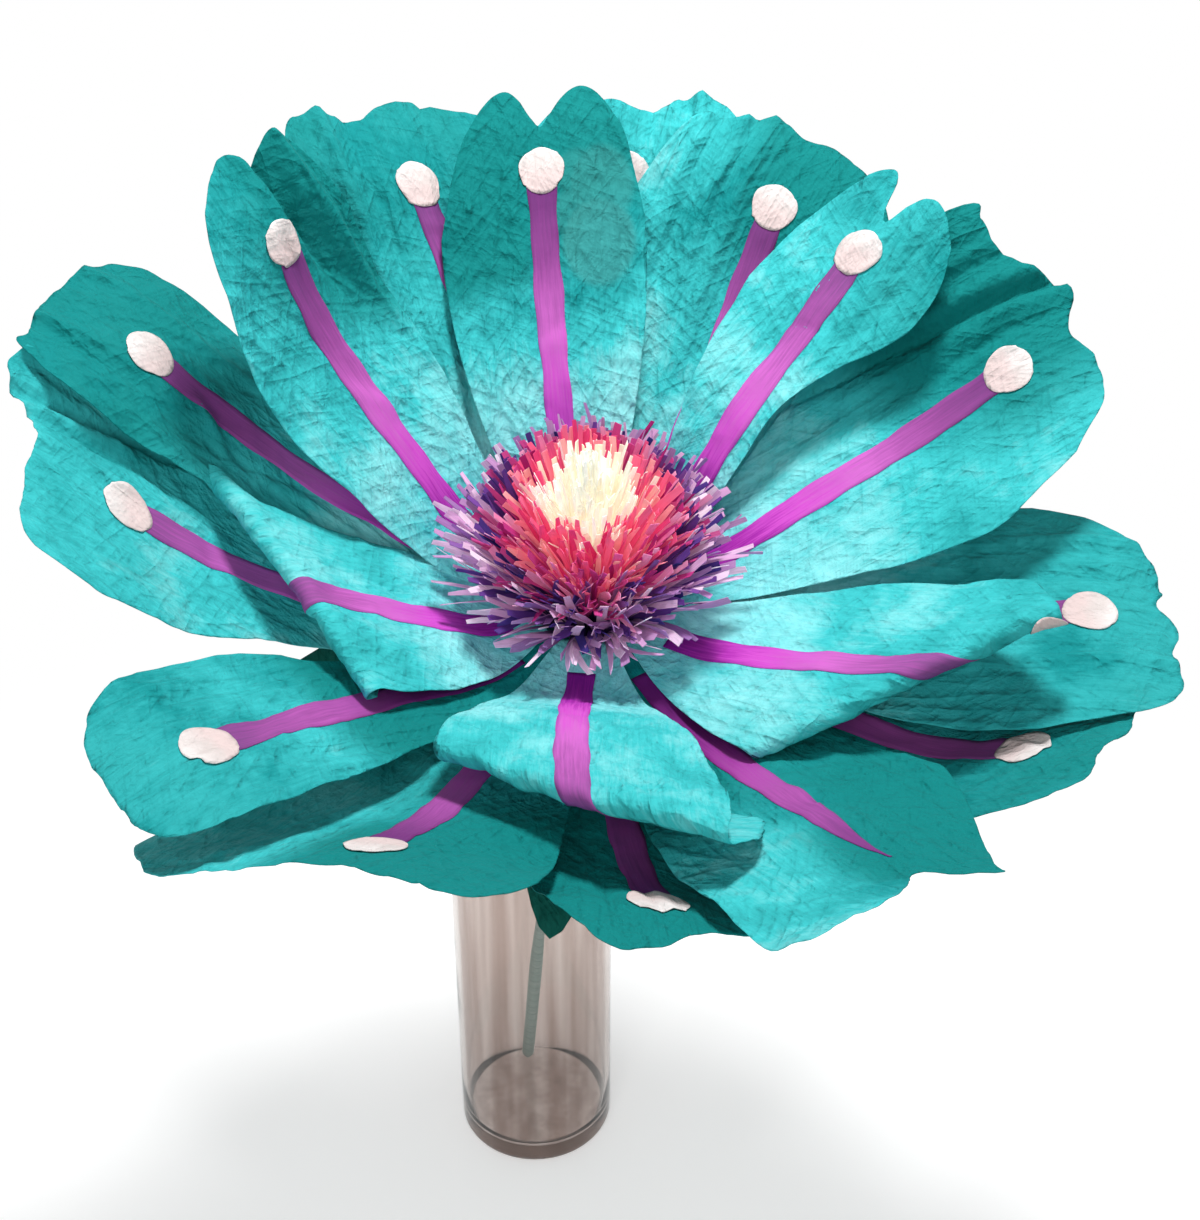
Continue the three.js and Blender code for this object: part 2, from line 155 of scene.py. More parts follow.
@dataclass(frozen=True)
class CrinkledPaper(Finish):
    """Handmade mulberry paper, dyed and crushed by hand: matt, cloudy, fibrous and full of soft creases."""

    reads = {"flat_mm": "Vector", "shade_and_bleed": "Fac", "shade_patch": "Fac"}
    deep: str
    body: str
    pale: str
    # Colour of the painted shade, and on the discs of the stripe's dye bleed
    shade_and_bleed_colour: str
    # Grey-green of the patches of painted shade
    shade_patch: str = "#4A928F"
    cloud_mm: float = 52.0
    fibre_mm: float = 1.5
    fibre_stretch: float = 12.0
    dent_mm: float = 11.0
    crease_size: float = 1.0
    crease_height: float = 1.0
    # Degrees from the petal's length, spacing across and run along in millimetres, and share of the height
    creases: tuple[tuple[float, float, float, float], ...] = (
        (7.0, 8.0, 75.0, 1.0), (-26.0, 9.0, 60.0, 0.8), (38.0, 6.0, 34.0, 0.55), (-63.0, 7.0, 42.0, 0.5),
    )

    def dress(self, add: Add, flat: Socket, shade: Socket, patch_mask: Socket) -> dict[str, Node]:
        """Adds dye clouds, long fibres, dents and creases over a matt sheet, and the mesh's painted shade and
        light.
        """
        # Dye that took unevenly: broad pale and deep clouds
        cloud = add("TexNoise", {
            "Vector": flat, "Scale": 1 / self.cloud_mm, "Detail": 5.0, "Roughness": 0.55, "Distortion": 0.3,
        })
        # Long fibres, finer in real paper and drawn this coarse so that they show
        cells = (1 / self.fibre_mm, 1 / (self.fibre_mm * self.fibre_stretch), 1.0)
        drawn = add("VectorMath", {0: flat, 1: cells}, operation="MULTIPLY")
        fibre = add("TexNoise", {
            "Vector": drawn, "Scale": 1.0, "Detail": 3.0, "Roughness": 0.6, "Distortion": 0.8,
        })
        # Soft dents left by crushing the sheet in the hand, about a centimetre apart
        dents = add("TexNoise", {
            "Vector": flat, "Scale": 1 / self.dent_mm, "Detail": 4.0, "Roughness": 0.6, "Distortion": 0.3,
        })
        creases = self._creases(add, flat)
        # Each source's share in the paper's tone; creases darken it as painted shade
        tone = -0.08
        for source, share in ((fibre, 0.16), (dents, 0.14), (creases, -0.018), (shade, -0.28), (cloud, 0.62)):
            tone = add("Math", {0: source, 1: share, 2: tone}, operation="MULTIPLY_ADD")
        dye = add("ValToRGB", {0: tone}, ((0.15, self.deep), (0.35, self.body), (0.60, self.pale)))
        # Painted shade deepens the end and one side, ragged at its edge; on discs this is the dye bleed
        shade_reach = add("Math", {0: cloud, 1: 0.9, 2: shade}, operation="MULTIPLY_ADD")
        inputs = {"Value": shade_reach, "From Min": 0.62, "From Max": 1.12, "To Max": 0.92}
        edge = add("MapRange", inputs, interpolation_type="SMOOTHSTEP")
        deeper = add("Mix", {"Factor": edge, FIRST: dye, SECOND: self.shade_and_bleed_colour}, data_type="RGBA")
        # Patches of painted shade turn the paper grey-green
        patch_shaded = add("Mix", {"Factor": patch_mask, FIRST: deeper, SECOND: self.shade_patch}, data_type="RGBA")
        height = self.crease_height
        return {"Surface": add("BsdfPrincipled", {
            "Base Color": patch_shaded, "Roughness": 0.85, "IOR": 1.45, "Specular IOR Level": 0.2,
            **relief(add, (creases, 0.8, 1.15 * height), (dents, 0.8, 2.9 * height), (fibre, 0.45, 0.45)),
        })}

    def _creases(self, add: Add, flat: Socket) -> Node:
        """Sums long straight creases that lie several ways; returns the node of their height."""
        total = 0.0
        for turn, across, along, share in self.creases:
            size = (across * self.crease_size, along * self.crease_size, 1.0)
            inputs = {"Vector": flat, "Rotation": (0.0, 0.0, math.radians(turn)), "Scale": size}
            lines = add("TexNoise", {
                "Vector": add("Mapping", inputs, vector_type="TEXTURE"), "Scale": 1.0, "Detail": 2.0,
                "Roughness": 0.5, "Offset": 0.9, "Gain": 1.5, "Distortion": 0.15,
            }, noise_type="RIDGED_MULTIFRACTAL")
            total = add("Math", {0: lines, 1: share, 2: total}, operation="MULTIPLY_ADD")
        return total


@dataclass(frozen=True)
class BrushedStripePaper(Finish):
    """Dyed strip lightening along its length, darker at the far end as painted shade, with drawn-out streaks.
    """

    reads = {"flat_mm": "Vector", "share": "Fac", "shade_and_bleed": "Fac"}
    name: str = "streaked_magenta_strip_paper"
    shaded: str = "#5A1460"
    mottle_mm: float = 5.0
    # Streaks per millimetre across and along
    streaks: tuple[float, float] = (0.9, 0.035)
    # The ramp's darkening past its middle is painted shade; the rest is the strip's own dye
    stops: Stops = (
        (0.10, "#7C0E84"), (0.20, "#A222A0"), (0.32, "#C648BE"),
        (0.48, "#C260BA"), (0.64, "#A04E9C"), (0.8, "#7E4684"),
    )

    def dress(self, add: Add, flat: Socket, share: Socket, shade: Socket) -> dict[str, Node]:
        """Adds a length-wise ramp of purple broken by long thin streaks."""
        drawn = add("VectorMath", {0: flat, 1: (*self.streaks, 1.0)}, operation="MULTIPLY")
        streak = add("TexNoise", {"Vector": drawn, "Scale": 1.0, "Detail": 4.0, "Roughness": 0.65})
        mottle = add("TexNoise", {
            "Vector": flat, "Scale": 1 / self.mottle_mm, "Detail": 4.0, "Distortion": 0.6,
        })
        shift = add("Math", {0: streak, 1: 0.42, 2: -0.21}, operation="MULTIPLY_ADD")
        along = add("Math", {0: share, 1: shift}, operation="ADD")
        bright = add("ValToRGB", {0: along}, self.stops)
        dye = add("Mix", {"Factor": shade, FIRST: bright, SECOND: self.shaded}, data_type="RGBA")
        return {"Surface": add("BsdfPrincipled", {
            "Base Color": dye, "Roughness": 0.78, "IOR": 1.45, "Specular IOR Level": 0.25,
            **relief(add, (streak, 0.4, 0.4), (mottle, 0.3, 0.6)),
        })}


@dataclass(frozen=True)
class StrandPaper(Finish):
    """Cut paper strands, darker low down in the fringe as painted shade and paler at their tips."""

    reads = {"along": "Fac", "pick": "Fac", "flat_mm": "Vector"}
    root: str
    low: str
    high: str
    tip: str
    passes: float
    # Strength of the strands' painted glow
    glow: float
    # Fibres per millimetre across and along each strand
    fibres: tuple[float, float] = (2.0, 0.2)

    def dress(self, add: Add, along: Socket, pick: Socket, flat: Socket) -> dict[str, Node]:
        """Lets each strand pick its own tone, lightening towards its cut tip."""
        tone = add("ValToRGB", {0: pick}, ((0.0, self.low), (0.55, self.high), (1.0, self.tip)))
        # Darker towards the root: painted shade deep between the strands
        inputs = {"Value": along, "From Min": 0.22, "From Max": 0.75}
        fade = add("MapRange", inputs, interpolation_type="SMOOTHSTEP")
        depth = add("Mix", {"Factor": fade, FIRST: self.root, SECOND: tone}, data_type="RGBA")
        drawn = add("VectorMath", {0: flat, 1: (*self.fibres, 1.0)}, operation="MULTIPLY")
        fibre = add("TexNoise", {"Vector": drawn, "Scale": 1.0, "Detail": 3.0})
        inputs = {"Value": fibre, "From Min": 0.3, "From Max": 0.7, "To Min": 0.84, "To Max": 1.06}
        dyed = add("VectorMath", {0: depth, "Scale": add("MapRange", inputs)}, operation="SCALE")
        bump = relief(add, (fibre, 0.3, 0.2))
        # The strands glow a little: painted light, as they are no lamp
        shader = add("BsdfPrincipled", {
            "Base Color": dyed, "Roughness": 0.8, "IOR": 1.45, "Specular IOR Level": 0.25,
            "Emission Color": dyed, "Emission Strength": self.glow, **bump,
        })
        # Thin loose strands pass light on to one another
        through = add("BsdfTranslucent", {"Color": dyed, **bump})
        return {"Surface": add("MixShader", {0: self.passes, 1: shader, 2: through})}


@dataclass(frozen=True)
class BlownGlass(Finish):
    """Clear blown, fire-polished soda glass: sharp reflections, faint grey-brown painted shade in its thick
    foot.
    """

    name: str = "tinted_blown_soda_glass"
    # Grey-brown tints over the streaks, part of the painted shade
    stops: Stops = ((0.34, "#C4B4AD"), (0.5, "#DBD0CB"), (0.62, "#EFE9E6"))
    painted_tint: str = "#AF9C92"
    tint_per_metre: float = 30.0
    # Waves per metre in the wall, about 40 mm apart, as blown glass has
    waves: float = 25.0
    # Streaks per metre round and up the wall, some 12 mm wide
    streaks: tuple[float, float, float] = (80.0, 80.0, 3.5)

    def dress(self, add: Add) -> dict[str, Node]:
        """Adds refracting glass with faint waves left by the mould."""
        place = add("TexCoord").outputs["Object"]
        wave = add("TexNoise", {"Vector": place, "Scale": self.waves, "Detail": 1.0})
        drawn = add("VectorMath", {0: place, 1: self.streaks}, operation="MULTIPLY")
        streak = add("TexNoise", {"Vector": drawn, "Scale": 1.0, "Detail": 2.0})
        shader = add("BsdfPrincipled", {
            "Base Color": add("ValToRGB", {0: streak}, self.stops), "Roughness": 0.02, "IOR": 1.5,
            "Transmission Weight": 1.0, **relief(add, (wave, 0.08, 2.0)),
        })
        # Painted shade tinting the glass grey-brown, so that the thick foot is darker than the wall
        painted_tint = add("VolumeAbsorption", {"Color": self.painted_tint, "Density": self.tint_per_metre})
        return {"Surface": shader, "Volume": painted_tint}


@dataclass(frozen=True)
class WoundTape(Finish):
    """Waxed paper tape wound round a rod: matt grey-green with a fine spiral edge every few millimetres."""

    reads = {"flat_mm": "Vector"}
    name: str = "wound_grey_green_stem_tape"
    pitch_mm: float = 9.0
    stops: Stops = ((0.0, "#7FABA8"), (0.3, "#A8CFCC"), (0.6, "#CBE6E3"))

    def dress(self, add: Add, flat: Socket) -> dict[str, Node]:
        """Adds overlapping turns with a darker edge at each."""
        parts = add("SeparateXYZ", {0: flat}).outputs
        turn = add("Math", {0: parts["Y"], 1: 1 / self.pitch_mm, 2: parts["X"]}, operation="MULTIPLY_ADD")
        lap = add("Math", {0: turn}, operation="FRACT")
        cloth = add("TexNoise", {"Vector": flat, "Scale": 0.35, "Detail": 4.0})
        tone = add("Math", {0: cloth, 1: 0.7}, operation="MULTIPLY")
        edge = add("MapRange", {"Value": lap, "From Max": 0.14}, interpolation_type="SMOOTHSTEP")
        mix = add("Math", {0: tone, 1: edge}, operation="MULTIPLY")
        return {"Surface": add("BsdfPrincipled", {
            "Base Color": add("ValToRGB", {0: mix}, self.stops), "Roughness": 0.7, "IOR": 1.45,
            **relief(add, (lap, 0.5, 0.3)),
        })}


@dataclass(frozen=True)
class CardStock(Finish):
    """Grey board painted dark turquoise: matt, with pressed pulp grain."""

    name: str = "painted_card_disc"
    # Specks of pulp per metre, 2 mm apart
    pulp: float = 500.0

    def dress(self, add: Add) -> dict[str, Node]:
        """Adds the grain of pressed pulp."""
        pulp = add("TexNoise", {
            "Vector": add("TexCoord").outputs["Object"], "Scale": self.pulp, "Detail": 4.0,
        })
        tone = add("ValToRGB", {0: pulp}, ((0.35, "#0E5A54"), (0.65, "#187A73")))
        inputs = {"Base Color": tone, "Roughness": 0.85, **relief(add, (pulp, 0.3, 0.3))}
        return {"Surface": add("BsdfPrincipled", inputs)}


@dataclass(frozen=True)
class FloorPaint(Finish):
    """Matt white floor paint that shows white to the camera and turns into a plain backdrop further out."""

    name: str = "matt_white_floor"
    glow: float = 0.4

    def dress(self, add: Add) -> dict[str, Node]:
        """Adds the paint, its glow to the camera and the backdrop."""
        tone = add("ValToRGB", {
            0: add("TexNoise", {"Scale": 3.0, "Detail": 2.0}),
        }, ((0.4, "#F6F6F6"), (0.6, "#FAFAFA")))
        seen = seen_sharply(add)
        glow = add("Math", {0: seen, 1: self.glow}, operation="MULTIPLY")
        painted = add("BsdfPrincipled", {
            "Base Color": tone, "Roughness": 0.9, "Emission Color": "#FFFFFF", "Emission Strength": glow,
        })
        away = add("VectorMath", {0: add("NewGeometry").outputs["Position"]}, operation="LENGTH")
        inputs = {"Value": away, "From Min": 0.2, "From Max": 0.8}
        far = add("MapRange", inputs, interpolation_type="SMOOTHSTEP")
        blend = add("Math", {0: far, 1: seen}, operation="MULTIPLY")
        white = add("Emission", {"Color": "#FFFFFF", "Strength": 1.0})
        return {"Surface": add("MixShader", {0: blend, 1: painted, 2: white})}


def closed_sheet(grid: Array, low: float, high: float, around: bool = False) -> tuple[Array, list]:
    """Makes a closed thin sheet between two offsets from a grid of points.

    Args:
        grid: rows x columns x 3 points.
        low: offset of the underside along the normals.
        high: offset of the upper side.
        around: True where the last column joins the first.

    Returns:
        The corner points and the faces.
    """
    rows, columns, _ = grid.shape
    if around:
        wrapped = np.concatenate([grid[:, -1:], grid, grid[:, :1]], axis=1)
        across = wrapped[:, 2:] - wrapped[:, :-2]
    else:
        across = np.gradient(grid, axis=1)
    normal = np.cross(np.gradient(grid, axis=0), across)
    normal /= np.maximum(np.linalg.norm(normal, axis=2, keepdims=True), 1e-9)
    points = np.concatenate([(grid + normal * offset).reshape(-1, 3) for offset in (low, high)])
    count = rows * columns
    index = np.arange(count).reshape(rows, columns)
    if around:
        index = np.concatenate([index, index[:, :1]], axis=1)
    a, b, c, d = index[:-1, :-1], index[:-1, 1:], index[1:, 1:], index[1:, :-1]
    under, upper = (np.stack(ring, axis=-1).reshape(-1, 4) for ring in ([a, b, c, d], [a, d, c, b]))
    faces = [under, upper + count]
    rims = [index[0, ::-1], index[-1]]
    if not around:
        rims += [index[:, 0], index[::-1, -1]]
    faces += [np.stack([rim[:-1], rim[1:], rim[1:] + count, rim[:-1] + count], axis=-1) for rim in rims]
    return points, np.concatenate(faces).tolist()


def tube_faces(rings: int, sides: int, start: int = 0) -> list[list[int]]:
    """Four-cornered faces between rings of points that follow one another from a start number."""
    return [
        [near + k, near + (k + 1) % sides, near + sides + (k + 1) % sides, near + sides + k]
        for near in range(start, start + (rings - 1) * sides, sides) for k in range(sides)
    ]


def sheet_places(side: Array, along: Array, layer: float = 0.0) -> Array:
    """Flat places for both faces of a sheet; the layer keeps its pattern apart from other sheets'."""
    flat = np.stack([side, along, np.full_like(side, layer)], axis=-1).reshape(-1, 3)
    return np.concatenate([flat, flat])


def mesh_object(
    name: str, points: Array, faces: list, materials: list[bpy.types.Material],
    attributes: dict[str, Array] | None = None, smooth: bool = True,
) -> bpy.types.Object:
    """Makes a mesh object from points in millimetres.

    Args:
        name: the piece's name.
        points: corner points.
        faces: corner numbers of each face.
        materials: the materials it wears.
        attributes: per-point values, one number or three each.
        smooth: True for smooth shading.

    Returns:
        The linked object.
    """
    mesh = bpy.data.meshes.new(name)
    mesh.from_pydata((points * MM).tolist(), [], faces)
    for key, values in (attributes or {}).items():
        kind, part = ("FLOAT", "value") if values.ndim == 1 else ("FLOAT_VECTOR", "vector")
        mesh.attributes.new(key, kind, "POINT").data.foreach_set(part, values.astype(np.float32).ravel())
    mesh.polygons.foreach_set("use_smooth", [smooth] * len(mesh.polygons))
    mesh.update()
    for material in materials:
        mesh.materials.append(material)
    piece = bpy.data.objects.new(name, mesh)
    bpy.context.scene.collection.objects.link(piece)
    return piece


def settle(piece: bpy.types.Object, slot: str, *nodes: str) -> None:
    """Makes a piece ride on the frame and stand for its nodes, which it hides."""
    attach(piece, "root")
    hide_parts(*nodes)
    LOG.info("%s: %d faces", piece.name, len(piece.data.polygons))


def flowing(places: Array, table: Iterable[tuple[float, float]]) -> Array:
    """Reads a smooth curve through a short table.

    Args:
        places: where to read it.
        table: rising places with their values.

    Returns:
        The values, held level beyond the table's ends.
    """
    knots, values = (np.array(column, dtype=float) for column in zip(*table))
    slopes = np.gradient(values, knots)
    found = np.clip(np.searchsorted(knots, places, side="right") - 1, 0, len(knots) - 2)
    gap = knots[found + 1] - knots[found]
    u = np.clip((places - knots[found]) / gap, 0, 1)
    return (
        (2 * u**3 - 3 * u**2 + 1) * values[found] + (u**3 - 2 * u**2 + u) * gap * slopes[found]
        + (-2 * u**3 + 3 * u**2) * values[found + 1] + (u**3 - u**2) * gap * slopes[found + 1]
    )


@dataclass(frozen=True)
class Ripple:
    """One size of crushed ridge: its height, its cell across and along, and how it leans and wanders."""

    height: float
    across: float
    along: float
    warp_across: float = 0.0
    lean_across: float = 0.0
    lean_along: float = 0.0
    warp_along: float = 0.0


@dataclass(frozen=True)
class Crumple:
    """Lift of crushed paper over a flat sheet, from seeded lattice noise."""

    seed: int
    size: int = 64
    warp: float = 9.0
    warp_cell: tuple[float, float] = (38.0, 60.0)
    swell: float = 1.9
    swell_cell: tuple[float, float] = (50.0, 74.0)
    ripples: tuple[Ripple, ...] = (
        Ripple(0.95, 26, 66, 1.0), Ripple(0.55, 15, 27, -1.0, 0.25, -0.2),
        Ripple(0.30, 8, 13, 0.0, 0.3, -0.35, 1.0),
    )

    def noise(self, x: Array, y: Array, layer: int) -> Array:
        """Smooth noise from -1 to 1.

        Args:
            x: place across, in cells.
            y: place along, in cells.
            layer: number that picks another pattern.

        Returns:
            The noise at each place.
        """
        table = np.random.default_rng(self.seed * 101 + layer).uniform(-1, 1, (self.size, self.size))
        column, row = np.floor(x).astype(int), np.floor(y).astype(int)
        u, v = x - column, y - row
        u, v = u * u * (3 - 2 * u), v * v * (3 - 2 * v)
        left, right = column % self.size, (column + 1) % self.size
        low, high = row % self.size, (row + 1) % self.size
        near = table[low, left] * (1 - u) + table[low, right] * u
        far = table[high, left] * (1 - u) + table[high, right] * u
        return near * (1 - v) + far * v

    def at(self, side: Array, along: Array) -> Array:
        """Lift in millimetres at places on the flat sheet."""
        warp = self.warp * self.noise(side / self.warp_cell[0], along / self.warp_cell[1], 0)
        lift = self.swell * self.noise(side / self.swell_cell[0], along / self.swell_cell[1], 1)
        for layer, ripple in enumerate(self.ripples, 2):
            x = (side + ripple.warp_across * warp + ripple.lean_across * along) / ripple.across
            y = (along + ripple.lean_along * side + ripple.warp_along * warp) / ripple.along
            # Noise folded into sharp ridges
            lift += ripple.height * (1 - 2 * np.abs(self.noise(x, y, layer)) ** 0.8)
        return lift


@dataclass(frozen=True)
class Pleat:
    """Sharp fold along a petal: its offset from the midrib, its height and its half width."""

    side: float
    lift: float
    width: float = 7.0
    start: float = 0.25
    slope: float = 0.0
    stop: float = 2.0


@dataclass(frozen=True)
class Fold:
    """Short straight crease pressed into a petal: its middle, its turn from the length, and its size."""

    side: float
    along: float
    turn: float
    run: float
    lift: float
    width: float


@dataclass(frozen=True)
class Patch:
    """Round patch of painted shade, grey-green over the dye."""

    side: float
    along: float
    radius: float
    depth: float


@dataclass(frozen=True)
class TipRoll:
    """Where and how a petal's tip turns back under: degrees for slant and turn."""

    out: float
    slant: float
    radius: float = 5.0
    turn: float = 170.0


@dataclass
class Petal:
    """One paper petal with its stripe and end dot, in the flower's own frame.

    The bearing, the rise at four stations along the midrib and the twist are degrees. The tip gives the cut
    outline's distance along from edge to edge, and each edge the half width on one side of the midrib.
    """

    ring: Ring
    number: int
    layer: int
    bearing: float
    rise: tuple[float, float, float, float]
    cup: float
    twist: float
    sway: float
    length: float
    half: float
    roll: TipRoll | None = None
    lobes: float = 1.0
    flutter: float = 2.6
    # Painted shade deepens the end and one side; painted light pales the base, and below nought shades it
    shade_and_bleed: float = 0.15
    shade_side: float = 0.0
    shade_start: float = 0.42
    shade_run: float = 0.36
    painted_base_light: float = 0.55
    pale_stop: float = 0.62
    pale_run: float = 0.4
    pleats: tuple[Pleat, ...] = ()
    tip: Curve = ()
    patches: tuple[Patch, ...] = ()
    stripe_stop: float = 0.0
    plus_edge: Curve = ()
    minus_edge: Curve = ()
    dot_side: float = 0.0
    dotted: bool = True
    start_radius: float = 26.5
    base_half: float = 12.5
    widest_share: float = 0.7
    shoulder_share: float = 0.74
    notch: float = 12.0
    notch_spread: float = 0.16
    bend_start: float = 0.12
    cup_reference: float = 75.0
    paper: float = 0.35
    strip_paper: float = 0.3
    gap: float = 0.3
    stripe_half: float = 7.5
    stripe_start: float = 0.085
    dot_radius: float = 12.0
    dot_share: float = 0.82
    fold_count: int = 26
    stations: tuple[float, ...] = (0.08, 0.22, 0.5, 0.78, 1.0)
    # Half turns from edge to edge and height of each wave in the cut outline
    waves: Curve = ((1.7, 2.0), (2.9, 1.7), (4.6, 1.1), (9.0, 0.45), (21.0, 0.22))

    @property
    def label(self) -> str:
        """The petal's name within the flower."""
        return f"{self.ring.value}_{self.number}"

    @property
    def seed(self) -> int:
        """A number that fixes this petal's own creases."""
        return self.number * 7 + list(Ring).index(self.ring) * 53

    def half_width(self, along: Array, across: Array) -> Array:
        """Half width of the flat petal a distance along it, on the side that across points to."""
        power = 0.95 if self.ring is Ring.INNER else 1.5
        share = np.clip(along / (self.widest_share * self.length), 0, 1)
        width = self.base_half + (self.half - self.base_half) * np.sin(np.pi / 2 * share) ** power
        for edge, wanted in ((self.plus_edge, across > 0), (self.minus_edge, across < 0)):
            if edge:
                width = np.where(wanted, flowing(along / self.length, edge), width)
        return width

    def end(self, across: Array) -> Array:
        """Distance from the glued end to the cut outline, with its waves."""
        arch = np.sqrt(np.clip(1 - across**2, 0, 1))
        share = self.shoulder_share + (1 - self.shoulder_share) * arch
        outline = share * self.length - self.notch * np.exp(-(np.abs(across / self.notch_spread) ** 1.3))
        if self.tip:
            outline = flowing(across, self.tip)
        rng = np.random.default_rng(self.seed)
        for turns, size in self.waves:
            wave = self.lobes * size * np.sin(turns * math.pi * across + rng.uniform(0, 6.28))
            outline = outline + wave * np.clip(1.2 - across**8, 0, 1)
        return outline

    def rolled(self, along: Array, side: Array) -> tuple[Array, Array, Array]:
        """Turns the flat paper back under beyond the roll line; returns along, side and lift."""
        if self.roll is None:
            return along, side, np.zeros_like(along)
        slant = math.radians(self.roll.slant)
        beyond = along * math.cos(slant) + side * math.sin(slant) - self.roll.out
        past = np.clip(beyond, 0, None)
        turn = np.minimum(past / self.roll.radius, math.radians(self.roll.turn))
        rest = past - turn * self.roll.radius
        forward = self.roll.radius * np.sin(turn) + rest * np.cos(turn) - past
        lift = -self.roll.radius * (1 - np.cos(turn)) - rest * np.sin(turn)
        return along + forward * math.cos(slant), side + forward * math.sin(slant), lift

    def midrib(self, along: Array) -> list[Array]:
        """Reach, height and rise angle of the midrib a distance along it."""
        table = np.linspace(0, 1.3 * self.length, 400)
        angles = np.radians(np.interp(table / self.length, self.stations, (0.0, *self.rise)))
        reach, height = (
            np.concatenate([[0], np.cumsum((run[1:] + run[:-1]) / 2)]) * (table[1] - table[0])
            for run in (np.cos(angles), np.sin(angles))
        )
        return [np.interp(along, table, values) for values in (reach, height, angles)]

    def folds(self) -> list[Fold]:
        """The petal's own short creases, two in three of them mostly along its length."""
        rng = np.random.default_rng(self.seed + 900)
        folds = []
        for number in range(self.fold_count):
            turn = rng.normal(0, 16) if number % 3 else rng.uniform(-80, 80)
            folds.append(Fold(
                side=rng.uniform(-0.9, 0.9) * self.half, along=rng.uniform(0.28, 1.0) * self.length,
                turn=math.radians(turn), run=rng.uniform(28, 100) if number % 3 else rng.uniform(16, 44),
                lift=rng.choice([-1, 1]) * rng.uniform(0.5, 1.25), width=rng.uniform(3.6, 8.0),
            ))
        return folds

    def creases(self, along: Array, side: Array, bend: Array) -> Array:
        """Lift of the paper's own folds, ruffles and crushed creases, in millimetres."""
        edge = np.clip(np.abs(side) / np.maximum(self.half_width(along, side), 1), 0, 1)
        share = along / self.length
        lift = Crumple(self.seed).at(side, along)
        # The free edge flutters
        flutter = Crumple(self.seed + 400).noise(along / 22 + side / 90, side / 60, 5)
        lift += self.flutter * edge**3 * flutter * np.clip(bend * 1.5, 0, 1)
        for fold in self.folds():
            run = (along - fold.along) * math.cos(fold.turn) + (side - fold.side) * math.sin(fold.turn)
            away = (side - fold.side) * math.cos(fold.turn) - (along - fold.along) * math.sin(fold.turn)
            fade = np.clip(1.6 - 2 * np.abs(run) / fold.run, 0, 1)
            lift += fold.lift * fade * (1 - np.clip(np.abs(away) / fold.width, 0, 1)) ** 1.3
        for pleat in self.pleats:
            middle = pleat.side + pleat.slope * (share - 0.8) * self.length
            ridge = 1 - np.clip(np.abs(side - middle) / pleat.width, 0, 1)
            shown = np.clip((share - pleat.start) * 5, 0, 1) * np.clip((pleat.stop - share) * 12, 0, 1)
            lift += pleat.lift * ridge * shown
        return lift * np.clip(bend * 4, 0, 1)

    def surface(self, across: Array, out: Array) -> tuple[Array, Array, Array]:
        """Points of the paper's middle, and where they lie on the flat sheet.

        Args:
            across: -1 to 1 from edge to edge.
            out: 0 to 1 from the glued end to the outline.

        Returns:
            Points in the flower's frame, and side and along distances on the flat sheet.
        """
        flat_along = out * self.end(across)
        flat_side = across * self.half_width(flat_along, across)
        along, side, lift = self.rolled(flat_along, flat_side)
        reach, height, rise = self.midrib(along)
        bend = np.clip((flat_along / self.length - self.bend_start) / (1 - self.bend_start), 0, 1)
        raised = lift + self.cup * side**2 * bend / self.cup_reference
        raised += self.creases(flat_along, flat_side, bend)
        twist = np.radians(self.twist) * bend
        sideways = side * np.cos(twist) - raised * np.sin(twist) + self.sway * bend**2
        normal = side * np.sin(twist) + raised * np.cos(twist)
        radius = self.start_radius + reach - normal * np.sin(rise)
        # Each layer leaves room for a petal, its stripe and a hair of air
        level = self.gap + self.paper / 2 + self.layer * (self.paper + self.strip_paper + 2 * self.gap + 0.05)
        cos, sin = math.cos(math.radians(self.bearing)), math.sin(math.radians(self.bearing))
        x, y = radius * cos - sideways * sin, radius * sin + sideways * cos
        return np.stack([x, y, level + height + normal * np.cos(rise)], axis=-1), flat_side, flat_along

    def painted_shading(self, side: Array, share: Array) -> Array:
        """How much painted shade lies at flat places, deeper outward and to one side; below nought it is
        painted light.
        """
        lean = np.clip(1 + self.shade_side * side / self.half * 1.3, 0, 2)
        outward = np.clip((share - self.shade_start) / self.shade_run, 0, 1) * self.shade_and_bleed * lean
        return outward - self.painted_base_light * np.clip((self.pale_stop - share) / self.pale_run, 0, 1)


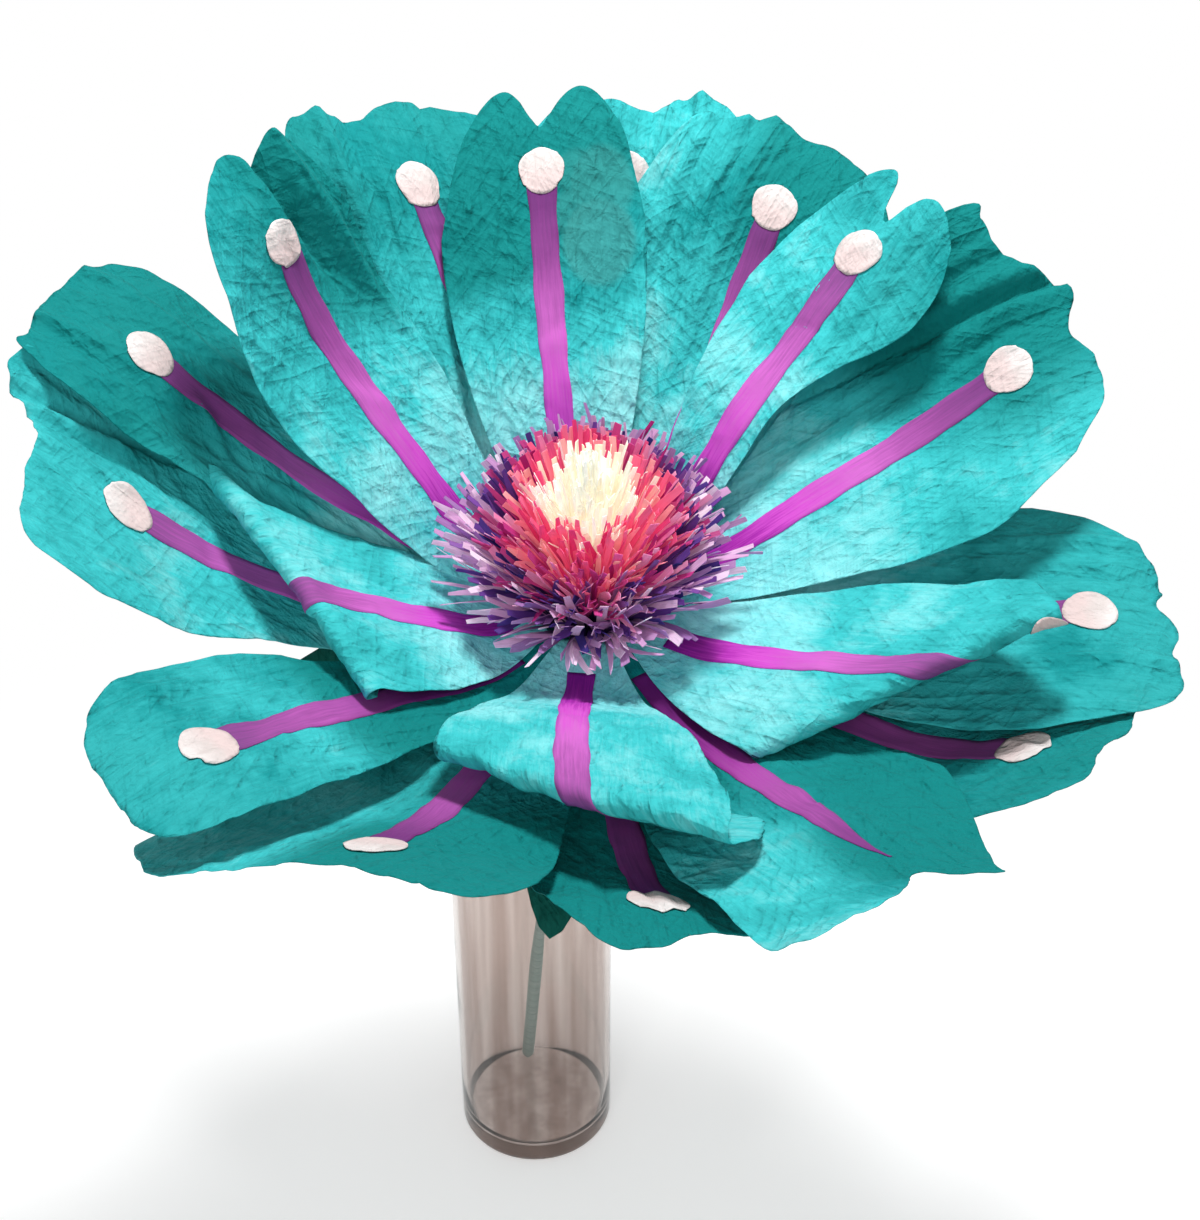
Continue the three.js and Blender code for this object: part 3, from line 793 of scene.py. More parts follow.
@dataclass
class Flower:
    """The flower's frame, its petals, and the meshes that dress them."""

    centre: tuple[float, float, float] = (39.0, -130.0, 485.0)
    tilt: float = 20.0
    columns: int = 79
    rows: int = 116
    stripe_columns: int = 7
    stripe_rows: int = 70
    dot_grid: int = 15
    petals: list[Petal] = field(default_factory=list)

    def place(self, points: Array) -> Array:
        """Takes points from the flower's frame to the vase's frame."""
        angle = math.radians(self.tilt)
        cos, sin = math.cos(angle), math.sin(angle)
        x, y, z = points[..., 0], points[..., 1], points[..., 2]
        return np.stack([x, y * cos - z * sin, y * sin + z * cos], axis=-1) + np.array(self.centre)

    def build_petal(self, petal: Petal, paper: bpy.types.Material) -> None:
        """Builds one petal's paper, with its columns closer together towards the edges."""
        even = np.linspace(-1, 1, self.columns)
        columns = np.sin(even * math.pi / 2) * 0.35 + even * 0.65
        grid, side, along = petal.surface(*np.meshgrid(columns, np.linspace(0, 1, self.rows)))
        points, faces = closed_sheet(self.place(grid), -petal.paper / 2, petal.paper / 2)
        # Patches of painted shade, grey-green, on the paper
        shade_patch = np.zeros_like(side)
        for patch in petal.patches:
            away = np.hypot(side - patch.side, (along - patch.along) * 0.8)
            shade_patch = np.maximum(shade_patch, patch.depth * np.clip((patch.radius - away) / 3 + 0.5, 0, 1))
        piece = mesh_object(f"paper_petal_{petal.label}", points, faces, [paper], {
            "flat_mm": sheet_places(side, along, petal.seed * 31.0),
            "shade_and_bleed": np.tile(petal.painted_shading(side, along / petal.length).ravel(), 2),
            "shade_patch": np.tile(shade_patch.ravel(), 2),
        })
        settle(piece, "petal_paper", f"petal_{petal.label}")

    def build_stripe(self, petal: Petal, strip: bpy.types.Material, disc: bpy.types.Material) -> None:
        """Builds one petal's stripe and, over its end, the round disc."""
        rng = np.random.default_rng(petal.seed + 5)
        centre = petal.dot_share * petal.length
        end = petal.stripe_stop or centre - petal.dot_radius * 0.75
        run = np.linspace(petal.stripe_start * petal.length, end, self.stripe_rows)
        # The cut wanders by a third of a millimetre
        cut = 0.35 * np.sin(run / 11 + rng.uniform(0, 6)) + 0.3 * np.sin(run / 4.3 + rng.uniform(0, 6))
        half = petal.stripe_half * (0.9 + 0.1 * run / end) + cut
        if not petal.dotted:
            half *= np.clip((end - run) / (0.3 * end), 0.06, 1)
        across, along = np.meshgrid(np.linspace(-1, 1, self.stripe_columns), run)
        side = across * half[:, None]
        points, faces = self._on_petal(petal, side, along, 0.0)
        share = along / petal.length
        # The stripe takes most of its petal's painted shade
        attributes = {
            "flat_mm": sheet_places(side, along, petal.seed * 17.0),
            "share": np.tile(share.ravel(), 2),
            "shade_and_bleed": np.tile(np.clip(petal.painted_shading(np.zeros_like(side), share), 0, 1).ravel() * 0.85, 2),
        }
        count = len(faces)
        if petal.dotted:
            dot_points, dot_faces, dot_attributes = self._disc(petal, centre, rng)
            faces += [[corner + len(points) for corner in face] for face in dot_faces]
            points = np.concatenate([points, dot_points])
            attributes = {key: np.concatenate([attributes[key], dot_attributes[key]]) for key in attributes}
        piece = mesh_object(f"paper_stripe_{petal.label}", points, faces, [strip, disc], attributes)
        for polygon in piece.data.polygons[count:]:
            polygon.material_index = 1
        settle(piece, "stripe_paper", f"stripe_{petal.label}")

    def _on_petal(self, petal: Petal, side: Array, along: Array, above: float) -> tuple[Array, list]:
        """Lays thin paper on a petal at flat side and along distances, a little above it."""
        across = side / petal.half_width(along, side)
        grid, _, _ = petal.surface(across, along / petal.end(across))
        low = petal.paper / 2 + petal.gap * 0.3 + above
        return closed_sheet(self.place(grid), low, low + petal.strip_paper)

    def _disc(self, petal: Petal, centre: float, rng: np.random.Generator) -> tuple[Array, list, dict]:
        """Builds the round disc, slightly pointed towards the stripe; returns points, faces, attributes."""
        even = np.linspace(-1, 1, self.dot_grid)
        u, v = np.meshgrid(even, even)
        # A square grid pressed into a circle, which leaves no seam at its middle
        x, y = u * np.sqrt(1 - v**2 / 2), v * np.sqrt(1 - u**2 / 2)
        turn = np.arctan2(y, x)
        edge = 1 + 0.02 * np.sin(2 * turn + rng.uniform(0, 6)) + 0.012 * np.sin(5 * turn)
        edge *= 1 + 0.14 * np.clip(-np.sin(turn), 0, 1) ** 5 * np.hypot(x, y)
        side = petal.dot_side + petal.dot_radius * edge * x
        along = centre + petal.dot_radius * edge * y
        points, faces = self._on_petal(petal, side, along, petal.strip_paper + 0.15)
        # The stripe's dye bled a little into the near side
        bled = np.clip(0.42 - 0.5 * (along - centre) / petal.dot_radius, 0, 0.8)
        return points, faces, {
            "flat_mm": sheet_places(side, along, petal.seed * 13.0),
            "share": np.full(len(points), petal.dot_share),
            "shade_and_bleed": np.tile(bled.ravel(), 2),
        }


def petal_list() -> list[Petal]:
    """The eighteen petals with the angles and sizes that the construction gives them."""
    inner, middle, outer = Ring
    return [
        # Darker ends and sides and paler or darker bases given here are painted shade and light
        Petal(inner, 1, 3, 100, (48, 33, 32, 22), 0, 5, -15, 255, 53, shade_and_bleed=0.85, shade_side=0.35, lobes=0.12,
              tip=((-1, 176), (-0.9, 212), (-0.7, 240), (-0.42, 254), (-0.22, 248), (-0.08, 238),
                   (-0.01, 233), (0.08, 238), (0.2, 248), (0.34, 253), (0.6, 242), (0.85, 212), (1, 176)),
              patches=(Patch(-31, 198, 17, 0.28), Patch(-19, 205, 11, 0.18),
                       Patch(-28, 168, 19, 0.42), Patch(-16, 184, 11, 0.24))),
        Petal(inner, 2, 4, 149, (52, 44, 64, 34), 0.06, 11, -16, 260, 52, shade_and_bleed=0.5, shade_side=-0.7, lobes=0.25,
              tip=((-1, 200), (-0.85, 236), (-0.62, 253), (-0.45, 252), (-0.3, 246), (-0.2, 248),
                   (-0.05, 258), (0.2, 256), (0.5, 246), (0.8, 226), (1, 190)),
              pleats=(Pleat(-22, -10, 9, 0.6, 0.12), Pleat(-37, 6, 7, 0.5, 0.1), Pleat(-6, 3, 7, 0.5)),
              dot_radius=10.0),
        Petal(inner, 3, 3, 201, (40, 35, 45, 25), -0.02, 8, -3, 178, 59, TipRoll(120, 14), shade_and_bleed=0.0, lobes=0.4,
              minus_edge=((0, 12.5), (0.2, 38), (0.45, 51), (0.67, 63), (0.76, 69), (0.82, 84), (0.88, 94),
                          (1.2, 96)),
              tip=((-1, 152), (-0.85, 166), (-0.6, 174), (0, 176), (0.5, 168), (0.8, 152), (1, 132)),
              dot_share=0.89, dot_radius=8.0),
        Petal(inner, 4, 3, 265, (48, 31, 40, 25), 0.04, -2, 19, 232, 61, TipRoll(134, -30), shade_and_bleed=0.0),
        Petal(inner, 5, 2, 329, (23, 28, 41, 22), -0.03, -12, 5, 215, 68, TipRoll(105, -46), shade_and_bleed=0.0,
              dot_share=0.955, dot_side=31.0, dot_radius=9.0),
        Petal(inner, 6, 3, 47, (55, 23, 28, 31), 0.03, -8, 4, 247, 49, shade_and_bleed=0.2, shade_side=-0.8, lobes=0.15,
              plus_edge=((0, 12.5), (0.3, 26), (0.6, 41), (0.75, 45), (1.0, 40), (1.1, 38)),
              minus_edge=((0, 12.5), (0.3, 14), (0.51, 20), (0.6, 30), (0.68, 44), (0.77, 53), (0.9, 54),
                          (1.1, 50)),
              tip=((-1, 178), (-0.9, 208), (-0.7, 230), (-0.5, 241), (-0.33, 242), (-0.16, 234), (-0.05, 222),
                   (0.03, 229), (0.12, 243), (0.27, 249), (0.45, 241), (0.65, 225), (0.85, 200), (1, 165)),
              pleats=(Pleat(-20, 3, 6, 0.5, -0.1), Pleat(12, -2, 5, 0.4), Pleat(-34, -3, 5, 0.62, -0.2))),
        Petal(middle, 1, 1, -6, (2, 14, 15, -13), 0, -8, -11, 259, 74, shade_and_bleed=0.3, lobes=0.5,
              tip=((-1, 186), (-0.85, 228), (-0.62, 247), (-0.35, 245), (0, 249), (0.09, 242), (0.3, 249),
                   (0.6, 242), (0.85, 220), (1, 188)),
              pleats=(Pleat(-30, 3, 6, 0.5), Pleat(25, -3, 6, 0.4), Pleat(48, 4, 6, 0.5))),
        Petal(middle, 2, 1, 63, (24, 31, 34, 1), 0.04, 18, 6, 261, 73, shade_and_bleed=0.65, shade_side=-0.9, lobes=0.5,
              tip=((-1, 190), (-0.8, 236), (-0.5, 258), (-0.2, 264), (0.0, 259), (0.2, 262), (0.42, 256),
                   (0.58, 248), (0.8, 236), (1, 195)),
              pleats=(Pleat(20, 4, 6, 0.3), Pleat(45, -4, 6, 0.4), Pleat(33, 3, 5, 0.5))),
        Petal(middle, 3, 1, 114, (35, 38, 37, 2), 0.03, 14, 4, 265, 73, shade_and_bleed=0.45, lobes=0.4,
              tip=((-1, 195), (-0.8, 240), (-0.5, 262), (-0.2, 272), (0.05, 270), (0.22, 259), (0.4, 261),
                   (0.62, 262), (0.85, 246), (1, 195)),
              pleats=(Pleat(38, 5, 6, 0.45), Pleat(-9.5, -3.5, 5, 0.25, -0.214), Pleat(24, -3, 5, 0.5))),
        Petal(middle, 4, 1, 186, (12, 35, 46, 38), 0.15, 5, -17, 264, 72, shade_and_bleed=0.2, lobes=0.4, dot_share=0.785,
              minus_edge=((0, 12.5), (0.25, 32), (0.5, 50), (0.75, 62), (1.1, 64)),
              plus_edge=((0, 12.5), (0.2, 20), (0.39, 34), (0.5, 40), (0.71, 63), (0.89, 72), (1.1, 72)),
              tip=((-1, 255), (-0.88, 266), (-0.6, 268), (-0.42, 257), (-0.15, 253), (0.28, 258), (0.6, 258),
                   (0.84, 250), (1, 226)),
              pleats=(Pleat(-41, -6, 5, 0.55, 0.11), Pleat(-50, 5, 5, 0.55, -0.1), Pleat(-27, -4, 5, 0.65),
                      Pleat(-12, 3, 6, 0.5))),
        Petal(middle, 5, 1, 248, (23, 32, 49, 41), -0.16, 16, 2, 269, 88, shade_and_bleed=0.9, shade_side=1.4,
              painted_base_light=-0.6, lobes=0.25,
              minus_edge=((0, 12.5), (0.2, 30), (0.38, 47), (0.6, 82), (0.73, 113), (0.85, 104), (1.05, 92)),
              plus_edge=((0, 12.5), (0.25, 32), (0.5, 50), (0.8, 64), (1.05, 66)),
              tip=((-1, 196), (-0.95, 206), (-0.88, 232), (-0.78, 248), (-0.6, 252), (-0.3, 251),
                   (0.06, 255), (0.4, 264), (0.65, 267), (0.82, 260), (0.93, 242), (1, 222))),
        Petal(middle, 6, 1, 300, (16, 34, 36, 57), -0.12, -14, 3, 287, 72, shade_and_bleed=0.8, shade_side=1.5,
              painted_base_light=-1.0, lobes=0.25, dotted=False, stripe_stop=226.0,
              minus_edge=((0, 12.5), (0.25, 38), (0.5, 60), (0.8, 71), (1.1, 79)),
              tip=((-1, 268), (-0.93, 284), (-0.7, 286), (-0.39, 276), (-0.16, 258), (-0.06, 247), (0.0, 248),
                   (0.08, 262), (0.17, 281), (0.3, 262), (0.5, 236), (0.72, 206), (1, 165))),
        Petal(outer, 1, 0, 86, (16, 36, 33, 8), 0, -2, -4, 271, 74, shade_and_bleed=0.15, lobes=0.5,
              tip=((-1, 200), (-0.8, 250), (-0.5, 272), (-0.25, 266), (-0.08, 262), (0.2, 268), (0.6, 258),
                   (1, 200)),
              pleats=(Pleat(-37, 5, 6, 0.4), Pleat(-12, -3, 5, 0.45), Pleat(-24, 3, 5, 0.5))),
        Petal(outer, 2, 2, 162, (25, 33, 42, 16), -0.07, 12, -2, 271, 70, shade_and_bleed=0.55, lobes=0.3,
              minus_edge=((0, 12.5), (0.25, 30), (0.5, 50), (0.75, 57), (0.84, 60), (1.05, 60)),
              plus_edge=((0, 12.5), (0.2, 21), (0.4, 33), (0.52, 37), (0.62, 41), (0.73, 45), (0.86, 47),
                         (1.05, 45)),
              tip=((-1, 212), (-0.93, 238), (-0.82, 256), (-0.6, 268), (-0.4, 273), (0.06, 275), (0.59, 270),
                   (0.85, 266), (0.95, 250), (1, 235)),
              pleats=(Pleat(-12, 4.5, 6, 0.5, -0.636, 0.74), Pleat(-30, 2.5, 6, 0.5),
                      Pleat(20, -2.5, 6, 0.5))),
        Petal(outer, 3, 2, 224, (32, 35, 35, -1), 0.04, 5, 15, 267, 63, shade_and_bleed=0.3, painted_base_light=-1.6, lobes=0.35,
              plus_edge=((0, 12.5), (0.2, 22), (0.4, 32), (0.76, 39), (1, 37)),
              minus_edge=((0, 12.5), (0.2, 20), (0.39, 31), (0.61, 51), (0.83, 53), (1, 54)),
              tip=((-1, 214), (-0.9, 236), (-0.7, 251), (-0.4, 261), (0, 262), (0.55, 263), (0.75, 258),
                   (0.92, 246), (1, 234))),
        Petal(outer, 4, 0, 275, (8, 25, 43, 35), 0.06, -11, 14, 243, 73, shade_and_bleed=0.9, shade_side=-0.7,
              painted_base_light=-1.8, lobes=0.4, minus_edge=((0, 12.5), (0.3, 32), (0.77, 47), (0.9, 42), (1.1, 40)),
              tip=((-1, 213), (-0.85, 232), (-0.6, 245), (-0.25, 243), (0.0, 236), (0.2, 229), (0.6, 222),
                   (1, 180))),
        Petal(outer, 5, 0, 329, (0, 0, 36, 28), 0.08, -18, 15, 242, 73, shade_and_bleed=0.5, painted_base_light=-1.6, notch=6.0,
              lobes=0.7),
        Petal(outer, 6, 2, 22, (24, 21, 29, 6), 0.2, 14, 8, 258, 75, shade_and_bleed=0.55, shade_side=0.9, lobes=0.3,
              plus_edge=((0, 12.5), (0.25, 34), (0.45, 57), (0.6, 70), (0.8, 83), (1.1, 85)),
              minus_edge=((0, 12.5), (0.25, 38), (0.5, 62), (0.64, 69), (0.71, 65), (0.86, 55), (1.1, 52)),
              tip=((-1, 214), (-0.85, 234), (-0.6, 246), (-0.3, 250), (0.04, 249), (0.1, 252), (0.2, 259),
                   (0.34, 254), (0.5, 243), (0.66, 236), (0.84, 237), (0.97, 232), (1, 220)),
              pleats=(Pleat(38, -6, 5, 0.3, -0.19), Pleat(46, 4, 5, 0.36, -0.19),
                      Pleat(29, 3, 5, 0.45, -0.14), Pleat(57, -3, 5, 0.45, -0.15),
                      Pleat(18, -2.5, 5, 0.5, -0.1))),
    ]


@dataclass
class FringeRoll:
    """One rolled strip cut into strands, in the flower's frame.

    Inner and outer bound the roots' ring. Each tip's distance from the axis and its height are picked between
    two values, and a tip that reaches further out stands lower.
    """

    name: str
    inner: float
    outer: float
    strands: int
    tip_low: float
    tip_high: float
    height_low: float
    height_high: float
    width: float
    finish: StrandPaper
    rear_rise: float
    front_rise: float
    front_pull: float
    seed: int
    curl: float = 0.35
    levels: int = 8
    root_level: float = 0.6
    half_thickness: float = 0.16
    golden_turn: float = 0.618034
    # Signs of a strand's four corners across it and through it
    corners: tuple[tuple[int, int], ...] = ((-1, -1), (1, -1), (1, 1), (-1, 1))

    def build(self, flower: Flower) -> None:
        """Builds every strand as a thin closed ribbon."""
        rng = np.random.default_rng(self.seed)
        share = np.linspace(0, 1, self.levels)
        count = self.levels * 4
        points, faces, picks, flats = [], [], [], []
        for number in range(self.strands):
            ribbon, half = self._strand(rng, number, share)
            points.append(ribbon)
            start, last = number * count, (number + 1) * count - 4
            faces += tube_faces(self.levels, 4, start)
            faces += [[start + 3, start + 2, start + 1, start], [last, last + 1, last + 2, last + 3]]
            picks.append(np.full(count, rng.uniform(0, 1)))
            offsets = np.tile([float(side) for side, _ in self.corners], self.levels) * np.repeat(half, 4)
            # Strands lie side by side in the pattern, each on a layer of its own
            places = [offsets + number * 13.0, np.repeat(share * 60, 4), np.full(count, number * 1.7)]
            flats.append(np.stack(places, axis=-1))
        attributes = {
            "along": np.tile(np.repeat(share, 4), self.strands),
            "pick": np.concatenate(picks),
            "flat_mm": np.concatenate(flats),
        }
        placed = flower.place(np.concatenate(points))
        finish = self.finish.make()
        piece = mesh_object(f"paper_{self.name}", placed, faces, [finish], attributes, smooth=False)
        settle(piece, self.name, self.name)

    def _strand(self, rng: np.random.Generator, number: int, share: Array) -> tuple[Array, Array]:
        """Bends one strand from its root to its tip.

        Args:
            rng: the roll's random numbers.
            number: the strand's number in the roll.
            share: shares of the strand's length at its rings of corners.

        Returns:
            The corner points, and the half width at each ring.
        """
        turn = 2 * math.pi * (number + rng.uniform(-0.4, 0.4)) * self.golden_turn
        mix = rng.uniform(0, 1)
        tip = self.tip_low + (self.tip_high - self.tip_low) * mix + rng.normal(0, 2.4)
        height = self.height_low + (self.height_high - self.height_low) * (1 - mix) + rng.normal(0, 2.4)
        # The roll leans, so that it stands taller at the flower's rear side, and its front is gathered in
        front = max(0.0, -math.sin(turn))
        height += self.rear_rise * math.sin(turn) + self.front_rise * front
        tip -= self.front_pull * front * min(1.0, tip / 20)
        root = rng.uniform(self.inner + 0.3, self.outer - 0.3)
        lean = rng.normal(0, 0.15)
        wide = self.width * rng.uniform(0.65, 1.2)
        twist = rng.normal(0, 0.8) * share
        reach = root + (tip - root) * share ** (1 + self.curl)
        level = self.root_level + (height - self.root_level) * (share ** (1 - 0.25 * self.curl))
        angle = turn + lean * share**1.5
        centre = np.stack([reach * np.cos(angle), reach * np.sin(angle), level], axis=-1)
        # Some strands are kinked part way up
        kink = rng.uniform(0.55, 0.85)
        push = rng.normal(0, 1.0, 3) * (9.0 if rng.uniform() < 0.4 else 4.0)
        centre += np.clip(share - kink, 0, 1)[:, None] * push[None]
        tangent = np.gradient(centre, axis=0)
        tangent /= np.linalg.norm(tangent, axis=1, keepdims=True)
        sideways = np.stack([-np.sin(angle), np.cos(angle), np.zeros(self.levels)], axis=-1)
        across = sideways * np.cos(twist)[:, None] + np.cross(tangent, sideways) * np.sin(twist)[:, None]
        out = np.cross(tangent, across)
        half = wide / 2 * (0.35 + 0.65 * np.clip(share * 1.8, 0, 1))
        # The tip is snipped narrower and off to one side
        half[-1] *= rng.uniform(0.45, 1.0)
        centre[-1] += across[-1] * (rng.normal(0, 0.5) * half[-2])
        ring = [
            centre + side * across * half[:, None] + through * out * self.half_thickness
            for side, through in self.corners
        ]
        return np.stack(ring, axis=1).reshape(-1, 3), half


@dataclass
class Vase:
    """Blown glass cylinder with a thick floor."""

    radius: float = 50.8
    height: float = 254.0
    wall: float = 3.5
    floor: float = 12.0
    foot_round: float = 9.0
    inside_round: float = 11.0
    rim_round: float = 1.7
    flat_radius: float = 20.0
    wall_steps: int = 12
    sides: int = 160

    def profile(self) -> list[tuple[float, float]]:
        """Half outline of the wall from the underside round over the rim to the floor."""
        inside = self.radius - self.wall
        rim = self.height - self.rim_round
        foot, bowl = self.foot_round, self.inside_round
        steps = [i / self.wall_steps for i in range(1, self.wall_steps)]
        points = [(self.flat_radius, 0.0)]
        points += self._arc((self.radius - foot, foot), (foot, foot), -90, 0, 8)
        points += [(self.radius, foot + (rim - foot) * step) for step in steps]
        points += self._arc((self.radius - self.wall / 2, rim), (self.wall / 2, self.rim_round), 0, 180, 12)
        points += [(inside, rim - (rim - self.floor - bowl) * step) for step in steps]
        points += self._arc((inside - bowl, self.floor + bowl), (bowl, bowl), 0, -90, 8)
        return points + [(self.flat_radius, self.floor)]

    @staticmethod
    def _arc(
        middle: tuple[float, float], radii: tuple[float, float], start: float, stop: float, steps: int
    ) -> list[tuple[float, float]]:
        """Points round a middle from one angle in degrees to another."""
        turns = [math.radians(start + (stop - start) * i / steps) for i in range(steps + 1)]
        return [(middle[0] + radii[0] * math.cos(a), middle[1] + radii[1] * math.sin(a)) for a in turns]

    def build(self, glass: bpy.types.Material) -> None:
        """Turns the profile into the glass."""
        ring = np.array(self.profile())
        turns = np.linspace(0, 2 * math.pi, self.sides, endpoint=False)
        radius, level = ring[:, :1], np.repeat(ring[:, 1:], self.sides, axis=1)
        wall = np.stack([radius * np.cos(turns), radius * np.sin(turns), level], axis=-1)
        points = np.concatenate([[(0.0, 0.0, 0.0), (0.0, 0.0, self.floor)], wall.reshape(-1, 3)])
        faces = tube_faces(len(ring), self.sides, 2)
        last = 2 + (len(ring) - 1) * self.sides
        for k in range(self.sides):
            n = (k + 1) % self.sides
            faces += [[0, 2 + n, 2 + k], [1, last + k, last + n]]
        settle(mesh_object("glass_vase", points, faces, [glass]), "vase_glass", "vase")


@dataclass
class Stem:
    """Taped rod from the vase's floor, against its rim, to the hub."""

    radius: float = 2.2
    foot: tuple[float, float, float] = (-7.75, 39.9, 13.05)
    rim: tuple[float, float, float] = (13.0, -42.5, 254.0)
    under: tuple[float, float, float] = (39.0, -108.6, 426.1)
    top: tuple[float, float, float] = (39.0, -129.1, 482.5)
    steps: int = 120
    sides: int = 20
    sleeve_radius: float = 4.2
    sleeve_top: float = 140.0
    sleeve_end: float = 215.0
    foot_share: float = 0.55

    def build(self, tape: bpy.types.Material) -> None:
        """Builds the rod as a closed tube along one smooth curve."""
        knots = np.array([self.foot, self.rim, self.under, self.top])
        times = np.concatenate([[0], np.cumsum(np.sqrt(np.linalg.norm(np.diff(knots, axis=0), axis=1)))])
        samples = np.linspace(0, times[-1], self.steps)
        centre = np.stack([flowing(samples, zip(times, column)) for column in knots.T], axis=-1)
        tangent = np.gradient(centre, axis=0)
        tangent /= np.linalg.norm(tangent, axis=1, keepdims=True)
        first = np.cross(tangent, np.array([1.0, 0.0, 0.0]))
        first /= np.linalg.norm(first, axis=1, keepdims=True)
        second = np.cross(tangent, first)
        turns = np.linspace(0, 2 * math.pi, self.sides, endpoint=False)
        # The lower end is wound thicker, and thins before it reaches the rim
        thick = np.interp(centre[:, 2], [self.sleeve_top, self.sleeve_end], [self.sleeve_radius, self.radius])
        thick[0] *= self.foot_share
        ring = centre[:, None] + sum(
            (thick[:, None] * wave[None])[..., None] * way[:, None]
            for wave, way in ((np.cos(turns), first), (np.sin(turns), second))
        )
        lengths = np.concatenate([[0], np.cumsum(np.linalg.norm(np.diff(centre, axis=0), axis=1))])
        round_share, along = np.meshgrid(turns / (2 * math.pi), lengths)
        faces = tube_faces(self.steps, self.sides)
        faces.append(list(range(self.sides))[::-1])
        faces.append([(self.steps - 1) * self.sides + k for k in range(self.sides)])
        flat = sheet_places(round_share, along)[: self.steps * self.sides]
        piece = mesh_object("taped_stem", ring.reshape(-1, 3), faces, [tape], {"flat_mm": flat})
        settle(piece, "stem_wrap", "stem")


@dataclass
class Calyx:
    """Star of pointed sepals cut from one sheet, under the hub."""

    sepals: int = 5
    first_bearing: float = 264.0
    reach: float = 169.0
    valley: float = 52.0
    droop: float = 10.0
    hole: float = 5.2
    hub_radius: float = 50.0
    level: float = -2.875
    paper: float = 0.35
    fold: float = 1.6
    wave: float = 1.1
    columns: int = 40
    rows: int = 26
    # Share of the way from a sepal's midrib to the valley, and how far out the cut edge lies
    outline: Curve = ((0, 1), (0.06, 0.96), (0.25, 0.62), (0.55, 0.24), (1, 0))

    def build(self, flower: Flower, paper: bpy.types.Material) -> None:
        """Builds the star with a pressed midrib in each sepal."""
        turns = np.linspace(0, 360, self.sepals * self.columns, endpoint=False)
        pitch = 360 / self.sepals
        share = np.abs((turns + pitch / 2) % pitch - pitch / 2) / (pitch / 2)
        edge = self.valley + (self.reach - self.valley) * np.interp(share, *zip(*self.outline))
        radius = self.hole + (edge[None] - self.hole) * np.linspace(0, 1, self.rows)[:, None]
        drop = np.clip(radius - self.hub_radius * 0.8, 0, None) * math.tan(math.radians(self.droop))
        fold = self.fold * (1 - np.clip(share * 3, 0, 1))[None] * np.clip(radius / 60 - 0.8, 0, 1)
        wave = self.wave * (np.sin(radius / 15 + turns[None] / 9) - 1) * np.clip(radius / 60 - 0.9, 0, 1)
        angle = np.radians(self.first_bearing + turns)[None]
        x, y = radius * np.cos(angle), radius * np.sin(angle)
        grid = np.stack([x, y, self.level - drop - fold + wave], axis=-1)
        points, faces = closed_sheet(flower.place(grid), -self.paper / 2, self.paper / 2, around=True)
        piece = mesh_object("paper_calyx", points, faces, [paper], {"flat_mm": sheet_places(x, y)})
        settle(piece, "calyx_paper", "calyx")


@dataclass
class Studio:
    """Pale floor, soft lamps and the camera at the photograph's angle."""

    camera_place: tuple[float, float, float] = (43.7, -879.4, 931.9)
    pitch_down: float = 31.0
    focal_px: float = 1777.0
    long_side_px: float = 1220.0
    sensor: float = 36.0
    floor_half: float = 6000.0
    floor_level: float = -0.2
    world_light: float = 0.3
    target: tuple[float, float, float] = (30.0, -130.0, 500.0)

    def build(self) -> None:
        """Makes the camera, floor, world and lamps."""
        self._camera()
        self._floor()
        self._world()
        self._lamp("key_lamp", (150, 20, 1640), 220, 14.8)
        self._lamp("front_fill_lamp", (-150, -1450, 1150), 800, 7.5)

    def _camera(self) -> None:
        """Sets the camera."""
        data = bpy.data.cameras.new("camera")
        data.sensor_width = self.sensor
        data.lens = self.focal_px / self.long_side_px * self.sensor
        data.clip_start = 0.01
        camera = bpy.data.objects.new("camera", data)
        camera.location = Vector(self.camera_place) * MM
        camera.rotation_euler = (math.radians(90 - self.pitch_down), 0, 0)
        bpy.context.scene.collection.objects.link(camera)
        bpy.context.scene.camera = camera

    def _floor(self) -> None:
        """Makes the floor, which keeps the shadow."""
        signs = ((-1, -1), (1, -1), (1, 1), (-1, 1))
        corners = np.array([[self.floor_half * x, self.floor_half * y, self.floor_level] for x, y in signs])
        floor = mesh_object("floor", corners, [[0, 1, 2, 3]], [FloorPaint().make()], smooth=False)

    def _world(self) -> None:
        """Makes a white surround for the camera, reflections and glass, and a softer one for light."""
        world = bpy.data.worlds.new("studio")
        world.use_nodes = True
        world.node_tree.nodes.clear()
        add = partial(add_node, world.node_tree)
        soft, white = (
            add("Background", {"Color": "#FFFFFF", "Strength": strength})
            for strength in (self.world_light, 1.0)
        )
        add("OutputWorld", {"Surface": add("MixShader", {0: seen_sharply(add), 1: soft, 2: white})})
        bpy.context.scene.world = world

    def _lamp(self, name: str, place: tuple[float, float, float], size: float, power: float) -> None:
        """Adds a square area lamp that points at the flower."""
        data = bpy.data.lights.new(name, "AREA")
        data.size = size * MM
        data.energy = power
        lamp = bpy.data.objects.new(name, data)
        lamp.location = Vector(place) * MM
        lamp.rotation_euler = (Vector(self.target) * MM - lamp.location).to_track_quat("-Z", "Y").to_euler()
        bpy.context.scene.collection.objects.link(lamp)


